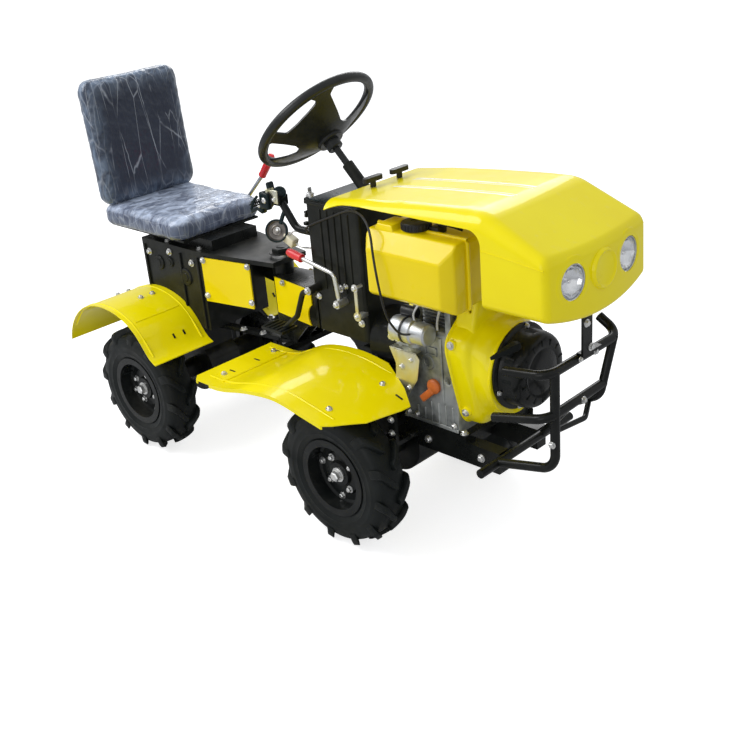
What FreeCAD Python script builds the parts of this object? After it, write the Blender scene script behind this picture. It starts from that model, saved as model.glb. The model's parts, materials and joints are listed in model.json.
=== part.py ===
import FreeCAD
import Part
import math
import os

V = FreeCAD.Vector

# ---------------------------------------------------------------- driving sizes (mm)
# The machine is laid out from the steering pivot: x forward, y left, z up from the ground.
TYRE_R = 205.0            # outside radius of a 4.00-8 field tyre over its lugs
TYRE_HALF = 54.0          # half the section width
RIM_FLANGE_R = 112.0
RIM_BARREL_R = 96.0
RIM_WALL = 4.0
HUB_BORE_R = 18.0
STUB_R = 17.4             # running clearance to the hub bore
FRONT_AXLE_X = 479.0
REAR_AXLE_X = -436.0
FRONT_TRACK_HALF = 270.0
REAR_TRACK_HALF = 254.0

PIN_R = 20.0              # steering pivot pin
PIN_CLEAR = 0.4
POST_R = 32.0
POST_Z0 = 399.0
POST_Z1 = 640.0
SWIVEL_GAP = 1.0          # thrust gap above and below the pivot post

RAIL_IN = 62.0            # inner face of a chassis rail
RAIL_OUT = 100.0
RAIL_Z0 = 250.0
RAIL_Z1 = 310.0
PLATE_T = 15.0            # engine mounting plate
ENGINE_Z = RAIL_Z1 + PLATE_T
CRANK_Z = 520.0
CASE_X0 = 235.0           # transmission case, rear and front faces
CASE_X1 = 430.0
CASE_TOP = 600.0
ENGINE_X0 = 560.0
ENGINE_X1 = 745.0

HOOD_HALF = 203.0
HOOD_X0 = 416.0
HOOD_X1 = 1118.0
HOOD_T = 3.0
SHOULDER_R = 44.0
NOSE_X0 = 924.0           # rear edge of the deep front skirt
NOSE_Z0 = 752.0
WINDOW_R = 36.0           # round corner of the side window at the front skirt
LAMP_Y = 112.0
LAMP_Z = 824.0
LAMP_R = 42.0

STEER_TILT = 45.0
STEER_X = 209.0
STEER_Z = 1073.0
STEER_R = 171.0           # rim centre line
STEER_GRIP = 13.0
COLUMN_R = 16.0
SHAFT_R = 9.5

BEAM_Z1 = 655.0
BEAM_Z0 = POST_Z1 + SWIVEL_GAP
YOKE_Z1 = POST_Z0 - SWIVEL_GAP
YOKE_Z0 = YOKE_Z1 - 13.0
REAR_CASE_HALF = 120.0
REAR_CASE_X0 = -545.0
REAR_CASE_X1 = -240.0

SEAT_HALF = 175.0
SEAT_PAN_Z = 694.0
SEAT_TOP_Z = 753.0
SEAT_X0 = -672.0
SEAT_X1 = -262.0
BACK_HALF = 184.0
BACK_T = 52.0
BACK_RECLINE = 4.0
BACK_HEIGHT = 398.0

NECK_TAPER = (5.0, CASE_X0, 44.0, 72.0)                  # x from, x to, half width from, to
BEAM_TAPER = (REAR_CASE_X1, -48.0, REAR_CASE_HALF, 84.0)

FENDER_T = 3.0
FOOT_Z = 404.0            # underside of the flat footrest
FOOT_IN = 90.3
FOOT_OUT = 392.0

BUMPER_X = 1064.0
BUMPER_R = 12.0
RING_PROUD = 10.0
KNOB_X = 455.0
NOSE_LEAN = 0.03          # the nose leans back this much per mm of height
CHIN_Z = NOSE_Z0 - 32.0
X_FRONT = HOOD_X1 - NOSE_LEAN * (LAMP_Z - CHIN_Z) + RING_PROUD
X_REAR = -712.0
X_SHIFT = -0.5 * (X_FRONT + X_REAR)   # puts the ground point under the middle of the length

SEAM = 0.3                # seam left where two curved parts meet


# ---------------------------------------------------------------- helpers
def box(x0, x1, y0, y1, z0, z1):
    return Part.makeBox(x1 - x0, y1 - y0, z1 - z0, V(x0, y0, z0))


def cyl(x, y, z, r, h, axis=V(0, 0, 1)):
    return Part.makeCylinder(r, h, V(x, y, z), axis)


def cyl_y(x, z, r, y0, y1):
    return Part.makeCylinder(r, y1 - y0, V(x, y0, z), V(0, 1, 0))


def cyl_x(y, z, r, x0, x1):
    return Part.makeCylinder(r, x1 - x0, V(x0, y, z), V(1, 0, 0))


def plan(points, z0, z1):
    """Prism over a plan outline given as (x, y) corners."""
    wire = Part.makePolygon([V(x, y, z0) for x, y in points + points[:1]])
    return Part.Face(wire).extrude(V(0, 0, z1 - z0))


def side(points, y0, y1):
    """Prism over a side outline given as (x, z) corners."""
    wire = Part.makePolygon([V(x, y0, z) for x, z in points + points[:1]])
    return Part.Face(wire).extrude(V(0, y1 - y0, 0))


def mirror(shape):
    return shape.mirror(V(0, 0, 0), V(0, 1, 0))


def both(shape):
    return [shape, mirror(shape)]


def fuse(shapes):
    out = shapes[0].multiFuse(shapes[1:])
    return out.removeSplitter()


def fused(shapes):
    out = fuse(shapes)
    return out.Solids[0] if len(out.Solids) == 1 else out


def smooth(points):
    curve = Part.BSplineCurve()
    curve.interpolate(points)
    return curve.toShape()


def spun(edges, origin, axis):
    """Solid of revolution of a closed outline."""
    return Part.Face(Part.Wire(edges)).revolve(origin, axis, 360)


def pipe_wire(points, bend):
    """Straight runs joined by tangent arcs of one radius."""
    edges = []
    start = points[0]
    for before, corner, after in zip(points, points[1:], points[2:]):
        u = (corner - before).normalize()
        w = (after - corner).normalize()
        turn = u.getAngle(w)
        if turn < 0.01:
            continue
        cut = bend * math.tan(turn / 2)
        p = corner - u * cut
        q = corner + w * cut
        inward = (w - u).normalize()
        middle = corner + inward * (bend / math.cos(turn / 2) - bend)
        if (p - start).Length > 0.01:
            edges.append(Part.makeLine(start, p))
        edges.append(Part.Arc(p, middle, q).toShape())
        start = q
    edges.append(Part.makeLine(start, points[-1]))
    return Part.Wire(edges)


def bar(points, r, bend=30.0):
    """Round bar or tube swept along a bent centre line."""
    wire = pipe_wire(points, bend)
    first = wire.Edges[0]
    ring = Part.Wire(Part.makeCircle(r, points[0], first.tangentAt(first.FirstParameter)))
    return wire.makePipeShell([ring], True, True)


def cord_wire(points):
    """Straight runs joined by tangent arcs, each arc as wide as its shorter run allows."""
    edges = []
    start = points[0]
    for before, corner, after in zip(points, points[1:], points[2:]):
        u = (corner - before).normalize()
        w = (after - corner).normalize()
        half = u.getAngle(w) / 2
        radius = 0.45 * min((corner - before).Length, (after - corner).Length) / math.tan(half)
        cut = radius * math.tan(half)
        p = corner - u * cut
        q = corner + w * cut
        middle = corner + (w - u).normalize() * (radius / math.cos(half) - radius)
        edges.append(Part.makeLine(start, p))
        edges.append(Part.Arc(p, middle, q).toShape())
        start = q
        print("cable bend radius %.0f" % radius)
    edges.append(Part.makeLine(start, points[-1]))
    return Part.Wire(edges)


def cord(points, diameter):
    wire = cord_wire(points)
    ring = Part.Wire(Part.makeCircle(diameter / 2, points[0], wire.Edges[0].tangentAt(0)))
    tube = wire.makePipeShell([ring], True, True)
    ratio = tube.Volume / (math.pi * diameter ** 2 / 4 * wire.Length)
    print("cable length %.0f, volume against section times length %.4f" % (wire.Length, ratio))
    return tube


def save(node, shape):
    if isinstance(shape, (list, tuple)):
        shape = Part.makeCompound(list(shape))
    shape = shape.copy()
    shape.translate(V(X_SHIFT, 0, 0))
    if not shape.isValid():
        print("NOT VALID", node)
    shape.exportStep("parts/" + node + ".step")
    box_ = shape.BoundBox
    print("%-20s solids %d  x %.0f..%.0f y %.0f..%.0f z %.0f..%.0f" % (
        node, len(shape.Solids), box_.XMin, box_.XMax, box_.YMin, box_.YMax, box_.ZMin, box_.ZMax))


# ---------------------------------------------------------------- wheels
def tyre(x, y):
    """Field tyre as one ring: beads, bulged side walls and a slightly crowned tread."""
    bore = RIM_BARREL_R + SEAM
    wall = [V(0, 46, RIM_FLANGE_R), V(0, 52.5, 135), V(0, TYRE_HALF, 160),
            V(0, 50, 188), V(0, 43, 202)]
    far = [V(0, -p.y, p.z) for p in wall]
    edges = [
        Part.makeLine(V(0, -46, bore), V(0, 46, bore)),
        Part.makeLine(V(0, 46, bore), wall[0]),
        smooth(wall),
        Part.Arc(wall[-1], V(0, 0, TYRE_R), far[-1]).toShape(),
        smooth(far[::-1]),
        Part.makeLine(far[0], V(0, -46, bore)),
    ]
    ring = spun(edges, V(0, 0, 0), V(0, 1, 0))
    ring.translate(V(x, y, TYRE_R))
    return ring


def rim(x, y, out):
    """Dished steel rim with its hub; out is +1 or -1, the side the wheel face looks to."""
    inner = RIM_BARREL_R - RIM_WALL
    outline = [(-50, inner), (-50, RIM_FLANGE_R), (-46, RIM_FLANGE_R), (-46, RIM_BARREL_R),
               (46, RIM_BARREL_R), (46, RIM_FLANGE_R), (50, RIM_FLANGE_R), (50, inner),
               (8, inner), (4, 84), (4, 66), (13, 60), (13, 38), (22, 34), (22, 0),
               (17, 0), (17, HUB_BORE_R), (-34, HUB_BORE_R), (-34, 36), (6, 40), (6, 57),
               (-2, 63), (-2, inner)]
    wire = Part.makePolygon([V(0, out * a, b) for a, b in outline + outline[:1]])
    body = Part.Face(wire).revolve(V(0, 0, 0), V(0, 1, 0), 360)
    body.translate(V(x, y, TYRE_R))
    return body


# ---------------------------------------------------------------- front half
def neck_line(offset, a, b, half_a, half_b):
    """A plan line down one side of a tapering neck, shifted outwards by offset."""
    return [(a, -half_a - offset), (b, -half_b - offset)]


def taper_at(x, a, b, half_a, half_b):
    """Half width of a taper at a given x."""
    return half_a + (half_b - half_a) * (x - a) / (b - a)


def tapered(a, b, half_a, half_b, inner, outer, z0, z1):
    """Upright plate following the right side of a taper between two offsets."""
    near = neck_line(outer, a, b, half_a, half_b)
    far = neck_line(inner, a, b, half_a, half_b)
    return plan(near + far[::-1], z0, z1)


def front_frame():
    rails = both(box(180, 890 - BUMPER_R - SEAM, -RAIL_OUT, -RAIL_IN, RAIL_Z0, RAIL_Z1))
    cross = [box(180, 205, -RAIL_IN, RAIL_IN, RAIL_Z0, RAIL_Z1),
             box(700, 725, -RAIL_IN, RAIL_IN, RAIL_Z0, RAIL_Z1)]
    bed = box(545, 770, -RAIL_OUT, RAIL_OUT, RAIL_Z1, ENGINE_Z)
    arm = fuse([box(592, 614, -200, -RAIL_OUT, 290, 302), box(592, 614, -200, -188, 302, 480)])
    arm = arm.cut(arch_sheet(-150, -240, 100, -FENDER_T))
    return fused(rails + cross + [bed] + both(arm))


def foot_bar():
    return box(48, 74, -378, 378, FOOT_Z - 20, FOOT_Z)


def pivot_neck():
    post = cyl(0, 0, POST_Z0, POST_R, POST_Z1 - POST_Z0)
    top = plan([(0, -POST_R), (5, -44), (CASE_X0, -72), (CASE_X0, 72), (5, 44), (0, POST_R)], 599, 605)
    low = plan([(0, -POST_R), (90, -50), (90, 50), (0, POST_R)], FOOT_Z, FOOT_Z + 6)
    web = tapered(*NECK_TAPER, -6, 0, FOOT_Z + 6, 599)
    rib = box(POST_R - 6, CASE_X0, -4, 4, FOOT_Z + 6, 599)
    under = side([(90, 300), (90, 420), (150, 480), (CASE_X0 + 1, 505), (CASE_X0 + 1, 300)], -200, 200)
    flanges = [box(CASE_X0 - 8, CASE_X0, -88, 88, 505, 599)]
    body = fused([post, top, low] + [part.cut(under) for part in [rib] + both(web)] + flanges + [foot_bar()])
    return body.cut(cyl(0, 0, 300, PIN_R + PIN_CLEAR, 500))


def neck_plates():
    ends = [taper_at(x, *NECK_TAPER) for x in (12, 190)]
    plate = tapered(12, 190, ends[0], ends[1], 0, 4, 492, 603)
    scoop = cyl_y(212, 520, 44, -200, 200)
    return both(plate.cut(scoop))


def transmission_case():
    """Flat-topped upper case on a narrower belly that reaches down to the rails."""
    upper = box(CASE_X0, CASE_X1, -90, 90, 505, CASE_TOP)
    upper = upper.makeFillet(14, [e for e in upper.Edges if abs(e.tangentAt(0).z) > 0.9])
    belly = side([(CASE_X0 + 20, 506), (285, 500), (330, 466), (362, 420), (385, 365), (392, 312),
                  (CASE_X1, 312), (CASE_X1, 506)], -60, 60)
    belly = belly.makeFillet(22, [e for e in belly.Edges if e.CenterOfMass.x < 391 and e.CenterOfMass.z < 490
                                  and abs(e.tangentAt(0).y) < 0.1])
    clutch = cyl_y(CASE_X1 - 20, 440, 46, -78, 78)
    foot = box(388, CASE_X1, -95, 95, RAIL_Z1, RAIL_Z1 + 14)
    bell = Part.makeCone(86, 64, 519.7 - CASE_X1, V(CASE_X1, 0, CRANK_Z - 20), V(1, 0, 0))
    return fused([upper, belly, clutch, foot, bell])


def front_axle():
    case = fuse([cyl_y(FRONT_AXLE_X, TYRE_R, 88, -RAIL_IN + SEAM, RAIL_IN - SEAM),
                 box(415, 543, -RAIL_IN + SEAM, RAIL_IN - SEAM, TYRE_R, RAIL_Z1 - SEAM)])
    return axle(case, FRONT_AXLE_X, FRONT_TRACK_HALF)


def axle(case, x, track):
    tube = cyl_y(x, TYRE_R, 32, -track + 70, track - 70)
    ends = [cyl_y(x, TYRE_R, 48, -track + 58, -track + 70), cyl_y(x, TYRE_R, 48, track - 70, track - 58)]
    stub = cyl_y(x, TYRE_R, STUB_R, -track - 15, track + 15)
    return fused([case, tube, stub] + ends)


def engine_crankcase():
    body = box(ENGINE_X0, ENGINE_X1, -95, 95, ENGINE_Z, 600)
    body = body.makeFillet(16, [e for e in body.Edges if abs(e.tangentAt(0).x) > 0.9])
    cover = cyl_x(0, CRANK_Z - 20, 78, 520, ENGINE_X0)
    pump = cyl(632, -118, 560, 20, 70)
    pad = box(612, 652, -118, -95, 560, 590)
    legs = [box(610, 628, -96, -80, 580, 720), box(715, 733, -96, -80, 580, 720)]
    return fused([body, cover, pump, pad] + legs)


def engine_cylinder():
    core = cyl(670, 0, 600, 56, 92)
    fins = [box(604, 744, -68, 68, 606 + 10 * i, 609 + 10 * i) for i in range(9)]
    head = box(604, 744, -68, 68, 692, 752)
    cover = box(620, 730, -50, 50, 752, 800)
    cover = cover.makeFillet(10, [e for e in cover.Edges if e.CenterOfMass.z > 760])
    return fused([core, head, cover] + fins)


def blower_housing():
    rim_r = 162.0
    outline = [(ENGINE_X1, 0), (ENGINE_X1, rim_r), (ENGINE_X1 + 22, rim_r), (ENGINE_X1 + 62, rim_r - 12),
               (ENGINE_X1 + 108, rim_r - 36), (ENGINE_X1 + 126, rim_r - 46), (ENGINE_X1 + 126, 0)]
    wire = Part.makePolygon([V(a, 0, b) for a, b in outline + outline[:1]])
    bowl = Part.Face(wire).revolve(V(0, 0, 0), V(1, 0, 0), 360)
    bowl.translate(V(0, 0, CRANK_Z - 10))
    duct = box(ENGINE_X1, ENGINE_X1 + 60, -75, 75, CRANK_Z, 745)
    return fused([bowl, duct])


def recoil_starter():
    x0 = ENGINE_X1 + 126
    body = fuse([cyl_x(0, CRANK_Z, 112, x0, x0 + 8), cyl_x(0, CRANK_Z, 98, x0 + 8, x0 + 74)])
    dish = cyl_x(0, CRANK_Z, 60, x0 + 64, x0 + 80)
    return fused([body]).cut(dish)


def fuel_tank():
    """Welded tank: a box with a bevelled upper outer edge and rounded seams."""
    section = [V(580, -240, 720), V(580, -240, 848), V(580, -204, 892), V(580, -78, 892),
               V(580, -78, 720)]
    body = Part.Face(Part.makePolygon(section + section[:1])).extrude(V(275, 0, 0))
    body = body.makeFillet(13, body.Edges)
    turret = box(600, 662, -206, -128, 880, 906)
    turret = turret.makeFillet(9, [e for e in turret.Edges if e.CenterOfMass.z > 885])
    return fused([body, turret])


def fuel_cap():
    return fused([cyl(702, -165, 892, 28, 5), cyl(702, -165, 897, 36, 17)])


def muffler():
    can = cyl_x(150, 690, 48, 600, 830)
    port = cyl_y(672, 715, 16, 68, 110)
    return fused([can, port])


def air_cleaner():
    can = cyl(650, 128, 752, 60, 118)
    neck = box(620, 680, 40, 90, 770, 796)
    stand = cyl(650, 128, 738 + SEAM, 20, 20)
    return fused([can, neck.cut(engine_cylinder()), stand])


# ---------------------------------------------------------------- hood
def nose_drum(r):
    """Large leaning drum whose skin is the bowed face of the nose."""
    lean = V(-NOSE_LEAN, 0, 1).normalize()
    foot = V(HOOD_X1 - 1400, 0, CHIN_Z) - lean * 120
    return Part.makeCylinder(r, 600, foot, lean)


def nose_ring():
    """Plain raised boss with a shallow dish in the middle of the nose."""
    x = HOOD_X1 - NOSE_LEAN * (LAMP_Z - CHIN_Z)
    boss = cyl_x(0, LAMP_Z, 46, x - 2.5, x + RING_PROUD)
    return boss.cut(cyl_x(0, LAMP_Z, 40, x + RING_PROUD - 4, x + 20))


CREST = [(416, 930), (540, 946), (700, 960), (850, 970), (925, 972)]
BROW = [(925, 972), (1101, 893), (1150, 870)]
SIDE_EDGE = [(416, 908), (440, 918), (475, 927), (540, 932), (700, 934)]   # eave above the tank


def hood_section(x, crest, inset):
    """Cross-section at x: upright sides, rounded shoulders and a level top."""
    half = HOOD_HALF - inset
    top = crest - inset
    r = SHOULDER_R - inset
    k = r * (1 - math.sqrt(0.5))
    z0 = CHIN_Z - 20
    edges = [Part.makeLine(V(x, -half, z0), V(x, -half, top - r)),
             Part.Arc(V(x, -half, top - r), V(x, -half + k, top - k), V(x, -half + r, top)).toShape(),
             Part.makeLine(V(x, -half + r, top), V(x, half - r, top)),
             Part.Arc(V(x, half - r, top), V(x, half - k, top - k), V(x, half, top - r)).toShape(),
             Part.makeLine(V(x, half, top - r), V(x, half, z0)),
             Part.makeLine(V(x, half, z0), V(x, -half, z0))]
    return Part.Wire(edges)


def hood_form(inset=0.0, reach=0.0):
    """Outer form of the hood; inset gives the air space under its sheet."""
    start = [(CREST[0][0] - reach, CREST[0][1] - 0.2 * reach)] if reach else []
    crown = Part.makeLoft([hood_section(x, z, inset) for x, z in start + CREST], True, False)
    brow = Part.makeLoft([hood_section(x, z, inset) for x, z in BROW], True, True)
    return crown.fuse(brow).common(nose_drum(1400 - inset))


def side_window():
    """Prism through both sides: the opening under the eave, round at its front corner."""
    eave = smooth([V(x, -400, z) for x, z in SIDE_EDGE])
    top = SIDE_EDGE[-1][1]
    corner = V(NOSE_X0 - WINDOW_R, -400, top - WINDOW_R)
    k = WINDOW_R * math.sqrt(0.5)
    start = V(SIDE_EDGE[0][0] - 40, -400, SIDE_EDGE[0][1] - 4)
    a = V(corner.x, -400, top)
    b = V(NOSE_X0, -400, corner.z)
    edges = [Part.makeLine(start, V(SIDE_EDGE[0][0], -400, SIDE_EDGE[0][1])), eave,
             Part.makeLine(V(SIDE_EDGE[-1][0], -400, top), a),
             Part.Arc(a, corner + V(k, 0, k), b).toShape(),
             Part.makeLine(b, V(NOSE_X0, -400, 600)),
             Part.makeLine(V(NOSE_X0, -400, 600), V(start.x, -400, 600)),
             Part.makeLine(V(start.x, -400, 600), start)]
    return Part.Face(Part.Wire(edges)).extrude(V(0, 800, 0))


def hood():
    shell = hood_form().cut(hood_form(HOOD_T, 20.0))
    shell = shell.cut(side_window())
    shell = shell.cut(box(HOOD_X0 - 10, 2000, -400, 400, 600, CHIN_Z))
    belly = Part.makeCylinder(660, 1200, V(HOOD_X0, 0, CHIN_Z + 660), V(1, 0, 0))
    low = box(HOOD_X0, 1300, -400, 400, 600, NOSE_Z0).cut(belly)
    shell = shell.cut(low)
    for y in (-LAMP_Y, LAMP_Y):
        shell = shell.cut(cyl_x(y, LAMP_Z, LAMP_R + SEAM, 1050, 1200))
    return fused([max(shell.Solids, key=lambda s: s.Volume), nose_ring()])


# ---------------------------------------------------------------- footrest fenders
ARCH_IN = [(100, 407), (170, 421), (230, 450), (300, 470), (370, 477), (440, 474), (500, 464),
           (600, 440), (660, 415)]
ARCH_OUT = [(100, 407), (160, 414), (215, 427), (300, 441), (361, 445), (418, 438), (473, 427),
            (550, 412), (610, 396)]


def arch_points(y):
    """Top line of the footrest sheet at a given distance from the middle."""
    t = (abs(y) - FOOT_IN) / (FOOT_OUT - FOOT_IN)
    return [(a[0] + (b[0] - a[0]) * t, a[1] + (b[1] - a[1]) * t) for a, b in zip(ARCH_IN, ARCH_OUT)]


def arch_wire(y, top, low):
    """Closed section of the footrest: a flat foot panel running into the arch."""
    pts = arch_points(y)

    def line(dz):
        flat = Part.makeLine(V(8, y, pts[0][1] + dz), V(pts[0][0], y, pts[0][1] + dz))
        return [flat, smooth([V(x, y, z + dz) for x, z in pts])]

    ends = [Part.makeLine(V(x, y, z + top), V(x, y, z + low)) for x, z in ((8, pts[0][1]), pts[-1])]
    return Part.Wire(Part.__sortEdges__(line(top) + line(low) + ends))


def arch_sheet(y0, y1, top, low):
    return Part.makeLoft([arch_wire(y0, top, low), arch_wire(y1, top, low)], True, True)


def front_fender():
    """Footrest and mudguard in one sheet with its outer edge folded down."""
    sheet = arch_sheet(-FOOT_IN, -FOOT_OUT, 0, -FENDER_T)
    lip = arch_sheet(-FOOT_OUT + FENDER_T, -FOOT_OUT, -1, -11)
    lip = lip.cut(box(48 - 12, 74 + 12, -500, 0, 300, FOOT_Z))
    outline = plan([(10, -FOOT_IN), (500, -FOOT_IN), (600, -138), (655, -176), (640, -205),
                    (612, -300), (560, -372), (539, -FOOT_OUT), (30, -FOOT_OUT), (10, -372)], 300, 600)
    return fuse([sheet, lip]).common(outline).Solids[0]


# ---------------------------------------------------------------- rear fenders
def rear_arch(dz):
    pts = [(-712, 340), (-690, 392), (-634, 452), (-564, 488), (-490, 500), (-420, 493),
           (-355, 468), (-305, 424), (-268, 378), (-240, 362)]
    return [V(x, 0, z + dz) for x, z in pts]


def rear_fender():
    top = smooth(rear_arch(0))
    low = smooth(rear_arch(-FENDER_T))
    a = rear_arch(0)[0]
    b = rear_arch(0)[-1]
    drop = V(0, 0, -FENDER_T)
    wire = Part.Wire([top, Part.makeLine(b, b + drop), low, Part.makeLine(a + drop, a)])
    sheet = Part.Face(wire).extrude(V(0, -(345 - REAR_CASE_HALF - SEAM), 0))
    sheet.translate(V(0, -REAR_CASE_HALF - SEAM, 0))
    return sheet


# ---------------------------------------------------------------- driver's controls
def tilt_axis():
    t = math.radians(STEER_TILT)
    return V(-math.sin(t), 0, math.cos(t))


def console():
    body = box(240, 440, -100, 100, CASE_TOP, 885)
    body = body.makeFillet(10, [e for e in body.Edges if abs(e.tangentAt(0).z) > 0.9])
    air = hood_form(HOOD_T + SEAM, 20.0)
    posts = [cyl(KNOB_X - 24, y, 880, 7, 80).common(air) for y in (-50, 50)]
    return fused([body, steering_column()] + posts)


def steering_column():
    axis = tilt_axis()
    top = V(STEER_X, 0, STEER_Z) - axis * 150
    low = top - axis * 190
    tube = Part.makeCylinder(COLUMN_R, 190, low, axis)
    bore = Part.makeCylinder(SHAFT_R + 1, 100, top - axis * 70, axis)
    return tube.cut(console_block()).cut(bore)


def console_block():
    return box(200, 600, -150, 150, 500, 885)


WHEEL_GAPS = [(-96, 22, 62), (78, 150, 76), (184, 240, 70)]   # from, to (degrees), inner radius


def dish_opening(a0, a1, inner):
    """Rounded opening through the dish of the wheel between two spokes."""
    steps = [math.radians(a0 + (a1 - a0) * i / 12.0) for i in range(13)]
    wedge = plan([(0, 0)] + [(400 * math.cos(t), 400 * math.sin(t)) for t in steps], -90, 20)
    ring = cyl(0, 0, -80, STEER_R - STEER_GRIP + 3, 90).cut(cyl(0, 0, -80, inner, 90))
    gap = ring.common(wedge)
    return gap.makeFillet(16, [e for e in gap.Edges if abs(e.tangentAt(0).z) > 0.9])


def steering_wheel():
    """Deep-dished wheel: a broad pad with three openings, set low on its shaft."""
    ring = Part.makeTorus(STEER_R, STEER_GRIP, V(0, 0, 0), V(0, 0, 1))
    lip = STEER_R - 4
    outline = [(12, -66), (44, -66), (62, -56), (lip, -8), (lip, -2), (60, -50), (44, -60), (12, -60)]
    wire = Part.makePolygon([V(a, 0, b) for a, b in outline + outline[:1]])
    dish = Part.Face(wire).revolve(V(0, 0, 0), V(0, 0, 1), 360)
    for a0, a1, inner in WHEEL_GAPS:
        dish = dish.cut(dish_opening(a0, a1, inner))
    hub = cyl(0, 0, -74, 38, 16)
    boss = cyl(0, 0, -96, 22, 30)
    shaft = cyl(0, 0, -210, SHAFT_R, 150)
    body = fused([ring, dish, hub, boss, shaft])
    body.rotate(V(0, 0, 0), V(0, 0, 1), -90)
    body.rotate(V(0, 0, 0), V(0, 1, 0), -STEER_TILT)
    body.translate(V(STEER_X, 0, STEER_Z))
    return body


def hood_knobs():
    out = []
    skin = hood_form()
    skin.translate(V(0, 0, SEAM))
    for y in (-50, 50):
        stem = cyl(KNOB_X, y, 900, 8, 52).cut(skin)
        head = cyl(KNOB_X, y - 24, 952, 9, 12).fuse(cyl(KNOB_X, y + 24, 952, 9, 12)).fuse(
            box(KNOB_X - 9, KNOB_X + 9, y - 24, y + 24, 952, 964))
        out.append(fused([stem, head]))
    return out


def control_arm():
    arm = bar([V(240 - SEAM, -60, 778), V(150, -60, 778), V(96, -60, 850)], 11, 40)
    clamp = box(40, 108, -76, -44, 840, 868)
    disc = cyl_y(60, 854, 26, -84, -76)
    return fused([arm, clamp, disc])


CABLE_D = 6.0
CABLE = [(215, -71.8, 778), (232, -112, 804), (300, -115, 836), (365, -124, 862), (430, -142, 890),
         (498, -172, 912), (562, -205, 918), (618, -238, 900), (641, -257, 838), (655, -260, 764),
         (668, -256, 692), (668, -222, 640), (652, -176, 612), (643, -136.2, 600)]


def throttle_cable():
    """Free cable from the arm, under the eave, over the tank's corner, down to the governor."""
    return cord([V(*p) for p in CABLE], CABLE_D)


def pedal():
    z = CASE_TOP + 40
    boss = cyl_y(262, z, 13, -140, -100)
    arm = bar([V(262, -128, z), V(223, -128, z - 18), V(190, -128, 545), V(128, -128, 494)], 8, 24)
    pad = box(62, 152, -160, -98, 488, 496)
    return fused([boss, arm, pad])


def right_lever():
    z = CASE_TOP + 18
    boss = cyl_y(364, z, 12, -132, -100)
    rod = bar([V(364, -122, z), V(352, -122, 700), V(231, -122, 722)], 6, 20)
    return fused([boss, rod])


def right_grip():
    return Part.makeCylinder(13, 58, V(231 - SEAM, -122, 722.1), V(-121, 0, 22))


LEFT_GRIP = V(-288, 198, 811)
GRIP_DIR = V(37, 0, 46).normalize()


def left_lever():
    boss = cyl_y(-450, 600, 14, REAR_CASE_HALF, 206)
    rod = bar([V(-450, 198, 600), V(-432, 198, 672), LEFT_GRIP], 6, 30)
    return fused([boss, rod])


def left_grip():
    return Part.makeCylinder(13, 95, LEFT_GRIP + GRIP_DIR * (SEAM + 0.5), GRIP_DIR)


# ---------------------------------------------------------------- lamps and bumper
def headlights():
    out = []
    front = nose_drum(1400 - HOOD_T - SEAM)
    for y in (-LAMP_Y, LAMP_Y):
        lamp = cyl_x(y, LAMP_Z, LAMP_R, 1070, 1125).common(front)
        out.append(lamp)
    return out


def bumper():
    r = BUMPER_R
    upper = bar([V(943, -150, 580), V(BUMPER_X, -150, 597), V(BUMPER_X, 150, 597), V(1007, 150, 632)], r, 36)
    lower = bar([V(905, -150, 446), V(BUMPER_X, -150, 486), V(BUMPER_X, 84, 490)], r, 36)
    cross = cyl_y(890, 300, r, -193, 193)
    near = bar([V(BUMPER_X, -120, 600), V(BUMPER_X, -120, 340), V(890, -120, 300)], r, 50)
    far = bar([V(BUMPER_X + 1, 127, 602), V(BUMPER_X + 1, 68, 462), V(BUMPER_X - 80, 65, 420),
               V(891, 65, 299)], r - 1, 30)
    hoop = bar([V(BUMPER_X - 2, -119, 441), V(BUMPER_X - 2, 8, 424), V(BUMPER_X - 30, 67, 442)], 7, 30)
    strap = fuse([box(1062, 1084, -30, 44, 606, 612), box(1078, 1084, -34, 4, 606, NOSE_Z0 - 40)])
    return fused([upper, lower, cross, strap, near, far, hoop])


# ---------------------------------------------------------------- rear half
def rear_beam():
    top = plan([(34, -66), (REAR_CASE_X1, -REAR_CASE_HALF), (REAR_CASE_X0, -REAR_CASE_HALF),
                (REAR_CASE_X0, REAR_CASE_HALF), (REAR_CASE_X1, REAR_CASE_HALF), (34, 66)], BEAM_Z0, BEAM_Z1)
    web = tapered(*BEAM_TAPER, -6, 0, 505, BEAM_Z0)
    body = fused([top] + both(web))
    return body.cut(cyl(0, 0, 600, PIN_R + 0.3, 100))


def beam_plates():
    ends = [taper_at(x, *BEAM_TAPER) for x in (-236, -52)]
    plate = tapered(-236, -52, ends[0], ends[1], 0, 4, 500, BEAM_Z0)
    return both(plate)


def lower_yoke():
    arm = plan([(-300, -76), (-20, -34), (-20, 34), (-300, 76)], YOKE_Z0, YOKE_Z1)
    eye = cyl(0, 0, YOKE_Z0, 38, YOKE_Z1 - YOKE_Z0)
    gap = plan([(-285, -50), (-70, -14), (-70, 14), (-285, 50)], YOKE_Z0 - 1, YOKE_Z1 + 1)
    return fused([arm, eye]).cut(gap).cut(cyl(0, 0, 300, PIN_R + 0.3, 200))


def pivot_pin():
    shank = cyl(0, 0, YOKE_Z0 - 12, PIN_R, BEAM_Z1 + 24 - YOKE_Z0 + 12)
    head = cyl(0, 0, BEAM_Z1, 32, 10)
    nut = cyl(0, 0, YOKE_Z0 - 12, 30, 12)
    return fused([shank, head, nut])


def rear_gearcase():
    case = box(REAR_CASE_X0, REAR_CASE_X1, -REAR_CASE_HALF, REAR_CASE_HALF, YOKE_Z1, BEAM_Z0)
    leg = box(-505, -380, -60, 60, TYRE_R, YOKE_Z1)
    ball = cyl_y(REAR_AXLE_X, TYRE_R, 88, -60, 60)
    return axle(fuse([case, leg, ball]), REAR_AXLE_X, REAR_TRACK_HALF)


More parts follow.
